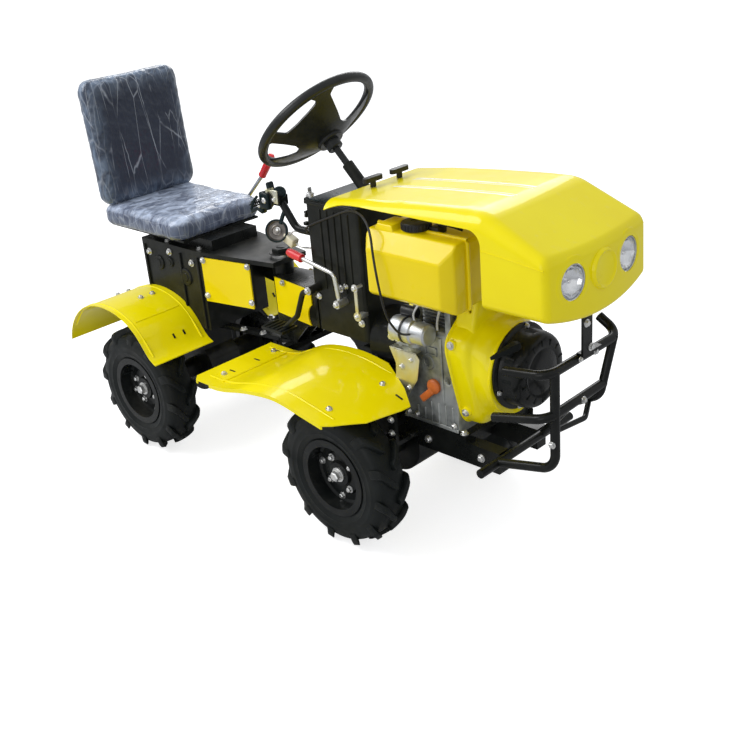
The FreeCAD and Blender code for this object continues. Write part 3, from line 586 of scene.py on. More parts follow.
def sheet(outline, thickness, place, edge=0.6):
    """Flat plate: an outline of (u, v) points given thickness, put in place by a function of u, v, w."""
    bm = bmesh.new()
    low = [bm.verts.new((u, v, 0)) for u, v in outline]
    face = bm.faces.new(low)
    out = bmesh.ops.extrude_face_region(bm, geom=[face])
    bmesh.ops.translate(bm, verts=[g for g in out["geom"] if isinstance(g, bmesh.types.BMVert)],
                        vec=(0, 0, thickness))
    bmesh.ops.recalc_face_normals(bm, faces=bm.faces)
    bmesh.ops.bevel(bm, geom=list(bm.edges), offset=edge, segments=2, profile=0.5, affect="EDGES",
                    clamp_overlap=True)
    for v in bm.verts:
        v.co = Vector(place(*v.co))
    bmesh.ops.recalc_face_normals(bm, faces=bm.faces)
    return bm


def kept_mesh(name, bm):
    """Turns a working mesh into a mesh and frees it."""
    mesh = bpy.data.meshes.new(name)
    bm.to_mesh(mesh)
    bm.free()
    return mesh


def place_mesh(name, mesh, body, material=None, sharp=30):
    """Makes a piece of a finished mesh and lets it ride on a body."""
    mesh.name = name
    mesh.shade_smooth()
    mesh.set_sharp_from_angle(angle=math.radians(sharp))
    if material is not None:
        mesh.materials.clear()
        mesh.materials.append(material)
    piece = put(name, mesh)
    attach(piece, body)
    print(name, len(mesh.polygons), "faces")
    return piece


def make(name, body, material, forms, replaces=(), sharp=35):
    """Joins working meshes into one finished piece that rides on a body."""
    whole = bmesh.new()
    for form in forms:
        carrier = kept_mesh("carrier", form)
        whole.from_mesh(carrier)
        bpy.data.meshes.remove(carrier)
    whole.transform(Matrix.Translation((PIVOT_X, 0, 0)) @ Matrix.Scale(0.001, 4))
    piece = place_mesh(name, kept_mesh(name, whole), body, material, sharp)
    if replaces:
        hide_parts(*replaces)
    return piece


# %% [markdown]
# ## Bolts by Geometry Nodes
# A machine like this carries more than a hundred bolts. Each group starts as a mesh that has only points,
# one per bolt, with the way it faces and its size stored on the point. One node tree builds a chamfered
# hexagon on a round washer, stands a copy on every point and makes them real. Changing the bolt's form in
# the tree changes them all.

# %% Bolt tree
def new_tree(name, *inputs):
    """A shape tree with named inputs beside its geometry, given as (label, kind, value)."""
    tree = bpy.data.node_groups.new(name, "GeometryNodeTree")
    tree.interface.new_socket("Geometry", in_out="INPUT", socket_type="NodeSocketGeometry")
    for label, kind, value in inputs:
        socket = tree.interface.new_socket(label, in_out="INPUT", socket_type=kind)
        if value is not None:
            socket.default_value = value
    tree.interface.new_socket("Geometry", in_out="OUTPUT", socket_type="NodeSocketGeometry")
    return tree, tree.nodes.new("NodeGroupInput"), tree.nodes.new("NodeGroupOutput")


def raise_by(tree, form, height):
    """Lifts a form by a height, given as a number or a link."""
    step = node_in(tree, "ShaderNodeCombineXYZ", {"Z": height}).outputs[0]
    return node_in(tree, "GeometryNodeTransform", {"Geometry": form, "Translation": step}).outputs["Geometry"]


def hand_out(tree, given, result, copies, centre=(0, 0, 0)):
    """Makes copies real, moves them to a centre and gives them the tree's material."""
    real = node_in(tree, "GeometryNodeRealizeInstances", {"Geometry": copies})
    moved = node_in(tree, "GeometryNodeTransform",
                    {"Geometry": real.outputs["Geometry"], "Translation": centre})
    skin = node_in(tree, "GeometryNodeSetMaterial", {"Geometry": moved.outputs["Geometry"],
                                                     "Material": given.outputs["Material"]})
    tree.links.new(skin.outputs["Geometry"], result.inputs["Geometry"])
    print("tree", tree.name, "has", len(tree.nodes), "nodes")


HEAD_HEIGHT, WASHER_RADIUS = 0.7, 1.45
bolt_tree, given, result = new_tree("hex_bolts", ("Head height", "NodeSocketFloat", HEAD_HEIGHT),
                                    ("Washer radius", "NodeSocketFloat", WASHER_RADIUS),
                                    ("Material", "NodeSocketMaterial", None))
height = given.outputs["Head height"]
washer = node_in(bolt_tree, "GeometryNodeMeshCylinder", {"Vertices": 20, "Depth": 0.3,
                                                         "Radius": given.outputs["Washer radius"]})
hexagon = node_in(bolt_tree, "GeometryNodeMeshCylinder", {"Vertices": 6, "Radius": 1.0, "Depth": height})
chamfer = node_in(bolt_tree, "GeometryNodeMeshCone", {"Vertices": 6, "Radius Top": 0.74, "Radius Bottom": 1.0,
                                                      "Depth": 0.2})
middle = node_in(bolt_tree, "ShaderNodeMath", {0: height, 1: 0.5, 2: 0.29}, operation="MULTIPLY_ADD")
top = node_in(bolt_tree, "ShaderNodeMath", {0: height, 1: 0.285}, operation="ADD")
head = node_in(bolt_tree, "GeometryNodeJoinGeometry")
for form, rise in ((chamfer, top.outputs[0]), (hexagon, middle.outputs[0]), (washer, 0.12)):
    bolt_tree.links.new(raise_by(bolt_tree, form.outputs["Mesh"], rise), head.inputs[0])
way = node_in(bolt_tree, "GeometryNodeInputNamedAttribute", {"Name": "facing"}, data_type="FLOAT_VECTOR")
size = node_in(bolt_tree, "GeometryNodeInputNamedAttribute", {"Name": "size"}, data_type="FLOAT")
aim = node_in(bolt_tree, "FunctionNodeAlignRotationToVector", {"Vector": way.outputs["Attribute"]}, axis="Z")
copies = node_in(bolt_tree, "GeometryNodeInstanceOnPoints",
                 {"Points": given.outputs["Geometry"], "Instance": head.outputs[0],
                  "Rotation": aim.outputs["Rotation"], "Scale": size.outputs["Attribute"]})
hand_out(bolt_tree, given, result, copies.outputs["Instances"])

# %% [markdown]
# The tree is used through one function: it makes the points, runs the tree, keeps the plain mesh that comes
# out and drops the modifier, so that the finished bolts are ordinary geometry on their body.

# %% Run a tree and keep its mesh
def baked(thing):
    """The plain mesh that an object's modifiers make."""
    return bpy.data.meshes.new_from_object(thing.evaluated_get(bpy.context.evaluated_depsgraph_get()))


def grown(name, mesh, tree, **inputs):
    """Runs a node tree on a mesh and returns the plain mesh it makes."""
    seed = put(name, mesh)
    modifier = seed.modifiers.new("grow", "NODES")
    modifier.node_group = tree
    for item in tree.interface.items_tree:
        key = item.name.replace(" ", "_").lower()
        if item.item_type == "SOCKET" and item.in_out == "INPUT" and key in inputs:
            modifier[item.identifier] = inputs[key]
    out = baked(seed)
    bpy.data.objects.remove(seed)
    return out


def bolts(name, body, places, head_height=HEAD_HEIGHT):
    """places holds (x, y, z, facing, half size across the hexagon) in shop millimetres."""
    dots = bpy.data.meshes.new(name)
    dots.from_pydata([at(*p[:3]) for p in places], [], [])
    dots.attributes.new("facing", "FLOAT_VECTOR", "POINT")
    dots.attributes.new("size", "FLOAT", "POINT")
    for i, p in enumerate(places):
        dots.attributes["facing"].data[i].vector = Vector(p[3]).normalized()
        dots.attributes["size"].data[i].value = p[4] / 1000
    out = grown(name, dots, bolt_tree, head_height=head_height, washer_radius=WASHER_RADIUS,
                material=zinc_steel)
    return place_mesh(name, out, body)


# %% [markdown]
# ## Field tyres
# A 4.00-8 field tyre is a plump carcass with tall curved bars. Twelve bars a side lean back from the
# middle of the tread to the shoulder, the two sides half a step apart, so that the pointed middle always
# enters the soil first. The carcass is turned from a profile with the thin rings that the mould leaves on
# its side. One bar is shaped from listed sections; a node tree copies it round both sides, which is the rule
# the mould follows.

# %% Tyre carcass and one bar
def carcass():
    """The plump body of the tyre, round the y axis."""
    half = [(97, -44.5), (108, -45.2), (113, -45.6), (116, -47.6), (119, -49.6), (128, -51.4), (131, -53.0),
            (134, -52.2), (147, -53.4), (150, -54.0), (153, -53.3), (163, -52.6), (171, -50.6), (178, -47.2),
            (183.5, -42.0), (187, -34.0), (189, -22.0), (190, -10.0), (190.3, 0.0)]
    profile = half + [(r, -h) for r, h in half[-2::-1]] + [(99.5, 30), (101, 0), (99.5, -30)]
    return turned(profile, (0, 0, 0), (0, 1, 0), 120, close=True)


TREAD_R = 195.0
BAR = [  # (across, top radius, foot radius, lead in degrees, half width)
    (-1.5, 204.0, 188.5, 15.4, 5.0), (-3.5, 204.8, 188.5, 15.2, 9.2), (-9.0, 205.0, 188.5, 14.2, 11.6),
    (-17.0, 204.8, 188.0, 12.0, 12.0), (-25.0, 204.4, 187.0, 8.8, 12.0), (-33.0, 203.6, 185.5, 5.4, 12.2),
    (-40.5, 202.0, 182.0, 2.6, 12.6), (-46.5, 199.0, 178.0, 0.9, 13.0), (-50.5, 192.5, 173.5, 0.0, 13.2),
    (-52.6, 183.0, 168.0, -0.4, 13.2), (-53.8, 172.0, 163.0, -0.6, 12.6)]


def tread_bar():
    """One curved bar on the right side: a tapering block that turns down over the shoulder."""
    bm = bmesh.new()
    rows = []
    for k, (y, top, foot, lead, half) in enumerate(BAR):
        row = []
        out_y = -0.6 if k > 6 else 0.0
        for u, r, dy in ((-1.18, foot, 0), (-1.0, top - 3.0, 0), (-0.82, top, out_y), (0.82, top, out_y),
                         (1.0, top - 3.0, 0), (1.18, foot, 0)):
            angle = math.radians(lead) + u * half / TREAD_R
            row.append(bm.verts.new((r * math.sin(angle), y + dy, r * math.cos(angle))))
        rows.append(row)
    for a, b in zip(rows, rows[1:]):
        for k in range(5):
            bm.faces.new((a[k], a[k + 1], b[k + 1], b[k]))
        bm.faces.new((a[5], a[0], b[0], b[5]))
    bm.faces.new(rows[0])
    bm.faces.new(rows[-1][::-1])
    bmesh.ops.recalc_face_normals(bm, faces=bm.faces)
    bmesh.ops.bevel(bm, geom=[e for e in bm.edges if e.calc_face_angle(0) > 0.5], offset=1.6, segments=2,
                    profile=0.6, affect="EDGES", clamp_overlap=True)
    bm.transform(Matrix.Scale(0.001, 4))
    return kept_mesh("tread_bar", bm)


# %% [markdown]
# The tree holds the mould's rule. Each side of the tread is a ring of copies: a row of points is made, and
# the bar on point number k is turned by k steps round the axle. The left side is the right side mirrored
# and set half a step on.

# %% Tread tree
def ring_of_copies(tree, form, count, axis, shift=0.0, start=0.0):
    """Copies a form round an axis, from a start angle and shift steps on."""
    marks = node_in(tree, "GeometryNodeMeshLine", {"Count": count, "Offset": (0, 0, 0)})
    step = node_in(tree, "ShaderNodeMath", {0: 2 * math.pi, 1: count}, operation="DIVIDE")
    index = node_in(tree, "GeometryNodeInputIndex")
    number = node_in(tree, "ShaderNodeMath", {0: index.outputs[0], 1: shift}, operation="ADD")
    turn = node_in(tree, "ShaderNodeMath", {0: number.outputs[0], 1: step.outputs[0], 2: start},
                   operation="MULTIPLY_ADD")
    angles = node_in(tree, "ShaderNodeCombineXYZ", {axis: turn.outputs[0]})
    return node_in(tree, "GeometryNodeInstanceOnPoints",
                   {"Points": marks.outputs["Mesh"], "Instance": form,
                    "Rotation": angles.outputs[0]}).outputs["Instances"]


BARS_PER_SIDE = 12
tread_tree, given, result = new_tree("tyre_tread", ("Bars per side", "NodeSocketInt", BARS_PER_SIDE),
                                     ("Start turn", "NodeSocketFloat", 0.0),
                                     ("Wheel centre", "NodeSocketVector", (0, 0, 0)),
                                     ("Material", "NodeSocketMaterial", None))
right_bar = given.outputs["Geometry"]
mirrored = node_in(tread_tree, "GeometryNodeTransform", {"Geometry": right_bar, "Scale": (1, -1, 1)})
left_bar = node_in(tread_tree, "GeometryNodeFlipFaces",
                   {"Mesh": mirrored.outputs["Geometry"]}).outputs["Mesh"]
both_sides = node_in(tread_tree, "GeometryNodeJoinGeometry")
for bar, shift in ((right_bar, 0.0), (left_bar, 0.5)):
    ring = ring_of_copies(tread_tree, bar, given.outputs["Bars per side"], "Y", shift,
                          given.outputs["Start turn"])
    tread_tree.links.new(ring, both_sides.inputs[0])
hand_out(tread_tree, given, result, both_sides.outputs[0], given.outputs["Wheel centre"])

# %% [markdown]
# The four wheels are never stopped at the same point of a turn, so each tyre has a start angle of its own.
# The tread is added to the turned carcass and the two become one piece on their wheel.

# %% Fit the four tyres
WHEELS = {"front_right": 8, "front_left": 17, "rear_right": 3, "rear_left": 22}
bar_mesh = tread_bar()
for corner, start in WHEELS.items():
    low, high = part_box("tyre_" + corner)
    hub = (low + high) / 2
    tread = grown("tread", bar_mesh.copy(), tread_tree, bars_per_side=BARS_PER_SIDE,
                  start_turn=math.radians(start), wheel_centre=hub, material=tyre_rubber)
    whole = carcass()
    whole.transform(Matrix.Translation(hub) @ Matrix.Scale(0.001, 4))
    whole.from_mesh(tread)
    tyre = place_mesh("field_tyre_" + corner, kept_mesh("field_tyre", whole), "wheel_" + corner,
                      tyre_rubber, 40)
    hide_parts("tyre_" + corner)

# %% [markdown]
# Each wheel is held by a big axle nut in the hub, four bolts through the hub flange and four nearer the rim,
# and has an air valve by its barrel. They ride with the wheel.

# %% Wheel bolts
AXLES = {"front": (479, 270, 127.3), "rear": (-436, 254, 67.3)}
HUB_HEIGHT, INNER_CIRCLE, OUTER_CIRCLE, VALVE_CIRCLE = 205, 50, 77.9, 88
VALVE_TURN = math.radians(160)
for corner in WHEELS:
    end, hand = corner.split("_")
    s = -1 if hand == "right" else 1
    x, y, inner_turn = AXLES[end]
    places = [(x, s * (y + 22), HUB_HEIGHT, (0, s, 0), 14.5)]
    for k in range(4):
        for circle, turn, out in ((INNER_CIRCLE, inner_turn, 13), (OUTER_CIRCLE, inner_turn + 45, 4)):
            a = math.radians(turn - 90 * k)
            places.append((x + circle * math.cos(a), s * (y + out), HUB_HEIGHT + circle * math.sin(a),
                           (0, s, 0), 7.2))
    bolts("wheel_bolts_" + corner, "wheel_" + corner, places, head_height=1.0)
    c, d = math.cos(VALVE_TURN), math.sin(VALVE_TURN)
    foot = Vector((x + VALVE_CIRCLE * c, s * (y + 5), HUB_HEIGHT + VALVE_CIRCLE * d))
    make("air_valve_" + corner, "wheel_" + corner, soft_rubber,
         [turned([(0, 0), (6, 0), (5, 4), (3.2, 6), (3.2, 24), (4, 24), (4, 33), (3, 35), (0, 35)], foot,
                 (0.25 * c, s, 0.25 * d), 16)])

# %% [markdown]
# ## Hood
# The hood is one deep pressing: a crown that rises to a brow, a slope down to a bowed nose, and an eave
# over the tank. Pressed sheet has no sharp outer edge, so a plain box with cut corners never looks right.
# Here the form is described by distances to its few surfaces. Where two of them meet, a fillet joins
# them, with the radius of the real press tool. A grid of points is then pushed out along rays until each
# reaches the surface.

# %% Distances and fillets
def rounded(a, b, r):
    """Common part of two forms given as distances, negative inside, with a fillet of radius r."""
    return np.minimum(-r, np.maximum(a, b)) + np.hypot(np.maximum(a + r, 0), np.maximum(b + r, 0))


CREST = [(416, 930), (540, 946), (700, 960), (850, 970), (925, 972), (1200, 979)]
HOOD_HALF, CHIN, NOSE = 203.0, 720.0, 1118.0
CHIN_BOW, NOSE_BOW, NOSE_LEAN = 660, 1400, 0.03
BROW_X, BROW_Z, BROW_FALL = 925, 972, math.atan2(79, 176)


def crest_height(x):
    """Height of the hood's crown along its middle."""
    return np.interp(x, [p[0] for p in CREST], [p[1] for p in CREST])


def nose_distance(p):
    """Distance to the bowed, leaning face of the nose."""
    lean = np.array([-NOSE_LEAN, 0, 1]) / math.hypot(NOSE_LEAN, 1)
    arm = p - np.array([NOSE - NOSE_BOW, 0, CHIN])
    return np.linalg.norm(arm - (arm @ lean)[..., None] * lean, axis=-1) - NOSE_BOW


def hood_distance(p):
    """Distance to the outer skin of the hood."""
    x, y, z = p[..., 0], p[..., 1], p[..., 2]
    brow = (z - BROW_Z) * math.cos(BROW_FALL) + (x - BROW_X) * math.sin(BROW_FALL)
    top = rounded(z - crest_height(x), brow, 14)
    body = rounded(np.abs(y) - HOOD_HALF, top, np.interp(x, [880, 1100], [44, 22]))
    body = rounded(body, nose_distance(p), 17)
    chin = CHIN + CHIN_BOW - np.sqrt(CHIN_BOW ** 2 - np.minimum(np.abs(y), 400) ** 2) - z
    return rounded(body, chin, 13)


# %% [markdown]
# The cut-outs are distances too: the side window with its round corner, the two lamp holes and the open
# underside with its turned-in lip. Points beside a cut are walked onto its edge, so that the edge runs
# smoothly across the grid.

# %% Cut-outs of the hood
EAVE = [(380, 880), (416, 908), (428, 913.6), (440, 918), (456, 923), (475, 927), (505, 930), (540, 932),
        (700, 934), (1200, 934)]

LAMP_Y, LAMP_Z, LAMP_HOLE_R = 112, 824, 42.3


def hood_cuts(p):
    """Distance to the nearest cut-out, negative inside one."""
    x, y, z = p[..., 0], p[..., 1], p[..., 2]
    eave = np.interp(x, [e[0] for e in EAVE], [e[1] for e in EAVE])
    window = rounded(x - 924, z - eave, 36)
    lamps = np.hypot(np.abs(y) - LAMP_Y, z - LAMP_Z) - LAMP_HOLE_R
    lamps = np.where(x > 1000, lamps, 50)
    underside = np.maximum(np.maximum(np.abs(y) - (HOOD_HALF - 12), z - 760), nose_distance(p) + 12)
    return np.minimum(np.minimum(window, lamps), underside)


def slope(field, p, step=0.4):
    """Numerical gradient of a distance field."""
    return np.stack([(field(p + d) - field(p - d)) / (2 * step) for d in np.eye(3) * step], axis=-1)


def onto(field, p, rounds=1):
    """Walks points straight onto the zero of a field."""
    for _ in range(rounds):
        g = slope(field, p)
        p = p - field(p)[..., None] * g / np.maximum((g ** 2).sum(-1, keepdims=True), 0.05)
    return p


# %% [markdown]
# Rays start from a spine inside the hood and fan out over the nose. Along each ray a few dozen halvings find
# the surface. Where the form turns quickly the grid lines are moved closer together, which keeps the
# fillets round without wasting faces on the flat sides.

# %% Grid of the hood
SPINE_START, SPINE_END = 416, 1030


def hood_ray(theta, s):
    """Start and direction of a ray: s runs along the spine to 1, then fans over the nose to 2."""
    x = SPINE_START + (SPINE_END - SPINE_START) * np.minimum(s, 1)
    fan = np.clip(s - 1, 0, 1) * math.pi / 2
    start = np.stack([x, 0 * x, 0 * x + LAMP_Z], -1)
    way = np.stack([np.sin(fan), np.cos(fan) * np.sin(theta), -np.cos(fan) * np.cos(theta)], -1)
    return start, way


def reach(field, start, way, far=420.0):
    """Points where rays leave a form, found by halving."""
    low, high = np.zeros(start.shape[:-1]), np.full(start.shape[:-1], far)
    for _ in range(34):
        half = (low + high) / 2
        inside = field(start + way * half[..., None]) < 0
        low, high = np.where(inside, half, low), np.where(inside, high, half)
    return start + way * low[..., None]


def even_steps(points, count, bend_weight):
    """Places along a dense line, closer together where it bends."""
    run = np.linalg.norm(np.diff(points, axis=0), axis=1)
    way = np.diff(points, axis=0) / np.maximum(run[:, None], 1e-9)
    bend = np.arccos(np.clip((way[1:] * way[:-1]).sum(1), -1, 1))
    effort = run + bend_weight * np.concatenate([[0], bend])
    total = np.concatenate([[0], np.cumsum(effort)])
    return np.interp(np.linspace(0, total[-1], count), total, np.arange(len(points)))


RINGS, SPOKES = 150, 190
fine_theta = np.linspace(0, 2 * math.pi, 4 * 360 + 1)
section = reach(hood_distance, *hood_ray(fine_theta, np.full_like(fine_theta, 0.6)))
theta = np.interp(even_steps(section, SPOKES + 1, 60)[:-1], np.arange(len(fine_theta)), fine_theta)
fine_s = np.concatenate([np.linspace(0, 1, 240), np.linspace(1.002, 2, 260)])
rays = hood_ray(*np.meshgrid(theta, fine_s, indexing="ij"))
lines = reach(hood_distance, *rays)
places = []
for line in lines:
    k = even_steps(line, RINGS, 60)
    places.append(np.interp(k, np.arange(len(fine_s)), fine_s))
grid_s = np.array(places)
grid_theta = np.repeat(theta[:, None], RINGS, 1)
grid = reach(hood_distance, *hood_ray(grid_theta, grid_s))
print("hood grid", grid.shape)

# %% [markdown]
# Faces inside a cut are dropped and the points on its edge are walked onto it. The sheet then gets its
# thickness along the true normal of the form, with a rim wherever it ends.

# %% Sheet of the hood
def pressed_sheet(grid, cuts, field, thickness):
    """Turns a closed grid of points into a thin sheet with its cut-outs."""
    spokes, rings = grid.shape[:2]
    flat = grid.reshape(-1, 3).copy()
    quads = []
    for i in range(spokes):
        for j in range(rings - 1):
            quads.append((i * rings + j, i * rings + j + 1, ((i + 1) % spokes) * rings + j + 1,
                          ((i + 1) % spokes) * rings + j))
    quads = np.array(quads)
    kept = cuts(flat[quads].mean(axis=1)) > 0
    edge_points = np.intersect1d(quads[kept].ravel(), quads[~kept].ravel())
    moved = flat[edge_points]
    for _ in range(8):
        moved = onto(field, onto(cuts, moved))
    near = np.linalg.norm(moved - flat[edge_points], axis=1) < 9
    flat[edge_points[near]] = moved[near]
    normal = slope(field, flat, 1.5)
    normal /= np.linalg.norm(normal, axis=1, keepdims=True)
    bm = bmesh.new()
    used = np.unique(quads[kept])
    outer = {int(k): bm.verts.new(flat[k]) for k in used}
    inner = {int(k): bm.verts.new(flat[k] - normal[k] * thickness) for k in used}
    count = {}
    for quad in quads[kept].tolist():
        bm.faces.new([outer[k] for k in quad])
        bm.faces.new([inner[k] for k in quad[::-1]])
        for a, b in zip(quad, quad[1:] + quad[:1]):
            count[(a, b)] = True
    for a, b in count:
        if (b, a) not in count:
            bm.faces.new((outer[b], outer[a], inner[a], inner[b]))
    bmesh.ops.remove_doubles(bm, verts=bm.verts, dist=0.01)
    bmesh.ops.recalc_face_normals(bm, faces=bm.faces)
    return bm


NOSE_WAY = Vector((1, 0, NOSE_LEAN)).normalized()
boss = turned([(0, 3.8), (35, 4.0), (38, 4.6), (40, 6.8), (42.5, 8.4), (45, 7.6), (47, 4.2), (49, -1.0),
               (49, -2.8), (0, -2.8)], (NOSE - NOSE_LEAN * (LAMP_Z - CHIN), 0, LAMP_Z), NOSE_WAY, 80)
make("hood_skin", "front_chassis", yellow_paint,
     [pressed_sheet(grid, hood_cuts, hood_distance, 3.0), boss], ["hood"], sharp=40)

# %% [markdown]
# ## Fuel tank
# Two deep pressings are welded along a rolled flange that stands out all round. The outer pressing is
# faceted: wide bevels run round its face, so light breaks on it in clean bands. A hull over a few rectangles
# gives the facets and a bevel softens every edge.

# %% Tank body
def faceted(rings, edge):
    """Hull over rectangles given as (x0, x1, y, z0, z1), with softened edges."""
    bm = bmesh.new()
    for x0, x1, y, z0, z1 in rings:
        for x in (x0, x1):
            for z in (z0, z1):
                bm.verts.new((x, y, z))
    hull = bmesh.ops.convex_hull(bm, input=bm.verts)
    loose = list({g for g in hull["geom_interior"] + hull["geom_unused"]
                  if isinstance(g, bmesh.types.BMVert)})
    bmesh.ops.delete(bm, geom=loose, context="VERTS")
    bmesh.ops.dissolve_limit(bm, angle_limit=math.radians(1), verts=bm.verts, edges=bm.edges)
    bmesh.ops.bevel(bm, geom=list(bm.edges), offset=edge, segments=5, profile=0.5, affect="EDGES",
                    clamp_overlap=True)
    bmesh.ops.recalc_face_normals(bm, faces=bm.faces)
    return bm


def rolled_frame(x0, x1, z0, z1, y, corner, wire, steps=10):
    """A rolled flange: round bar along a rounded rectangle."""
    loop = []
    for cx, cz, a0 in ((x1 - corner, z1 - corner, 0), (x0 + corner, z1 - corner, 90),
                       (x0 + corner, z0 + corner, 180), (x1 - corner, z0 + corner, 270)):
        for k in range(steps + 1):
            a = math.radians(a0 + 90 * k / steps)
            loop.append((cx + corner * math.cos(a), y, cz + corner * math.sin(a)))
    return rod(loop, wire, 12, 2, closed=True)


CAP_X, CAP_Y = 702, -165
tank = [faceted([(600, 830, -240, 740, 848), (580, 855, -214, 722, 880), (580, 855, -204, 720, 892),
                 (580, 855, -166, 720, 892)], 8),
        faceted([(583, 852, -168, 723, 889), (583, 852, -79, 723, 889)], 9),
        faceted([(606, 652, -200, 882, 905), (600, 662, -206, 870, 890), (600, 662, -128, 870, 890),
                 (606, 652, -136, 882, 905)], 3),
        rolled_frame(579, 857, 718, 893, -165, 16, 5.5),
        turned([(27, 884), (38, 884), (38, 892), (33, 894), (30, 895), (27, 895)], (CAP_X, CAP_Y, 0),
               steps=48, close=True)]
make("tank_body", "front_chassis", tank_paint, tank, ["fuel_tank"], sharp=40)

# %% [markdown]
# ## Blower housing
# Cooling air is driven by a fan behind the recoil cover, inside a pressed housing. Its rear edge is a
# straight-sided flange that bolts to the crankcase, and it closes forward to a round mouth. Each row of
# points is a mix of the two outlines.

# %% Blower housing
FAN_MIDDLE = (0.0, 510.0)
FLANGE = [(-95, 633), (-128, 606), (-133, 578), (-84, 380), (-62, 352), (62, 352), (84, 380), (133, 578),
          (128, 606), (95, 633), (70, 652), (-70, 652)]


def flange_reach(angle):
    """Distance from the fan's middle to the flange's edge along an angle."""
    way = np.array([math.cos(angle), math.sin(angle)])
    best = 1e9
    for (y0, z0), (y1, z1) in zip(FLANGE, FLANGE[1:] + FLANGE[:1]):
        a = np.array([y0 - FAN_MIDDLE[0], z0 - FAN_MIDDLE[1]])
        d = np.array([y1 - y0, z1 - z0])
        cross = way[0] * d[1] - way[1] * d[0]
        if abs(cross) > 1e-9:
            t = (a[0] * d[1] - a[1] * d[0]) / cross
            u = (a[0] * way[1] - a[1] * way[0]) / cross
            if t > 0 and -1e-9 <= u <= 1 + 1e-9:
                best = min(best, t)
    return best


FAN_STEPS, MOUTH_R = 180, 118
edge_reach = np.array([flange_reach(2 * math.pi * k / FAN_STEPS) for k in range(FAN_STEPS)])
edge_reach = sum(np.roll(edge_reach, k) for k in (-2, -1, 0, 1, 2)) / 5
BLOWER_ROWS = [(746, 0, 6.5), (749, 0, 7.0), (750.5, 0, 6.0), (752, 0, 1.5), (756, 0, 0.5), (772, 0.03, 2.5),
               (788, 0.10, 5.0), (800, 0.20, 5.5), (808, 0.30, 3.5), (812, 0.37, -0.5), (818, 0.46, -1.5),
               (832, 0.62, 0.5), (846, 0.80, 1.5), (856, 0.93, 1.0), (861, 1.0, -1.0), (864, 1.0, -1.2),
               (866.5, 1.0, 1.5), (870, 1.0, 2.0), (872, 1.0, 0.0), (872, 1.0, -10.0)]
rows = []
for x, mix, stand in BLOWER_ROWS:
    radii = (1 - mix) * edge_reach + mix * MOUTH_R + stand
    rows.append([(x, FAN_MIDDLE[0] + r * c, FAN_MIDDLE[1] + r * s)
                 for r, (c, s) in zip(radii, around(FAN_STEPS))])
duct = sheet([(-100, 600), (-97, 640), (-76, 714), (-74, 744), (74, 744), (76, 714), (97, 640), (100, 600)],
             62, lambda u, v, w: (747 + w, u, v), 9)
make("blower_shell", "front_chassis", yellow_paint, [loft(rows), duct],
     ["blower_housing"], sharp=45)

# %% [markdown]
# ## Seat cushions
# The seat is two foam pads in cloth. Foam under cloth swells between its edges and pulls in at its corners,
# and a short cloth simulation with pressure gives that better than modelling by hand. The pad starts a
# little smaller than its place, is remeshed to even faces, swells for twenty steps, and its travel is
# capped so that it stays in its place.

# %% Swell a pad
def foam_start(size, shrink, corner, edge, thin):
    """A pad blank, a little smaller than its place: round corners in plan, then softened rims."""
    bm = bmesh.new()
    bmesh.ops.create_cube(bm, size=1)
    bm.transform(Matrix.Diagonal((*[s - 2 * shrink for s in size], 1)))
    upright = [e for e in bm.edges if abs((e.verts[0].co - e.verts[1].co)[thin]) > 1e-6]
    bmesh.ops.bevel(bm, geom=upright, offset=corner, segments=8, profile=0.5, affect="EDGES")
    rims = [e for e in bm.edges if sum(abs(f.normal[thin]) > 0.9 for f in e.link_faces) == 1]
    bmesh.ops.bevel(bm, geom=rims, offset=edge, segments=5, profile=0.5, affect="EDGES")
    return bm


def swell(name, bm, pressure, cap, grain=0.006, frames=20):
    """Remeshes a blank, inflates it as cloth and returns the pad."""
    pad = put(name, kept_mesh(name, bm))
    remesh = pad.modifiers.new("even_faces", "REMESH")
    remesh.mode, remesh.voxel_size = "VOXEL", grain
    even = baked(pad)
    pad.modifiers.clear()
    pad.data = even
    start = np.array([v.co for v in even.vertices])
    cloth = pad.modifiers.new("foam", "CLOTH")
    cloth.settings.quality = 6
    cloth.settings.mass = 0.25
    cloth.settings.tension_stiffness = 22
    cloth.settings.compression_stiffness = 22
    cloth.settings.bending_stiffness = 1.2
    cloth.settings.use_pressure = True
    cloth.settings.uniform_pressure_force = pressure
    cloth.settings.effector_weights.gravity = 0
    cloth.collision_settings.use_collision = False
    cloth.point_cache.frame_start, cloth.point_cache.frame_end = 1, frames
    for f in range(1, frames + 1):
        bpy.context.scene.frame_set(f)
    swollen = baked(pad)
    pad.modifiers.clear()
    bpy.context.scene.frame_set(1)
    step = np.array([v.co for v in swollen.vertices]) - start
    far = np.linalg.norm(step, axis=1, keepdims=True)
    start = start + step * np.minimum(1.0, cap / np.maximum(far, 1e-9))
    print(name, "swelled by up to", round(float(far.max()) * 1000, 1), "mm")
    even.vertices.foreach_set("co", start.astype(np.float32).ravel())
    even.update()
    return pad


def settle(pad, place, creases):
    """Lays the packing-film creases into the pad, smooths it and puts it in its place."""
    bm = bmesh.new()
    bm.from_mesh(pad.data)
    bm.normal_update()
    for v in bm.verts:
        v.co += v.normal * creases(v.co)
    bm.transform(place)
    bm.to_mesh(pad.data)
    bm.free()
    rounder = pad.modifiers.new("smooth", "SUBSURF")
    rounder.levels = rounder.render_levels = 1
    smooth = baked(pad)
    pad.modifiers.clear()
    pad.data = smooth
    pad.data.shade_smooth()


def waves(seed, count, size):
    """A sum of fine straight ripples in several directions, always the same for one seed."""
    rng = random.Random(seed)
    ripples = [(Vector((rng.uniform(-1, 1), rng.uniform(-1, 1), rng.uniform(-1, 1))).normalized()
                * rng.uniform(70, 260), rng.uniform(0, 6.28), rng.uniform(0.4, 1.0)) for _ in range(count)]
    return lambda co: sum(abs(math.sin(k.dot(co) + p)) ** 6 * w for k, p, w in ripples) * size
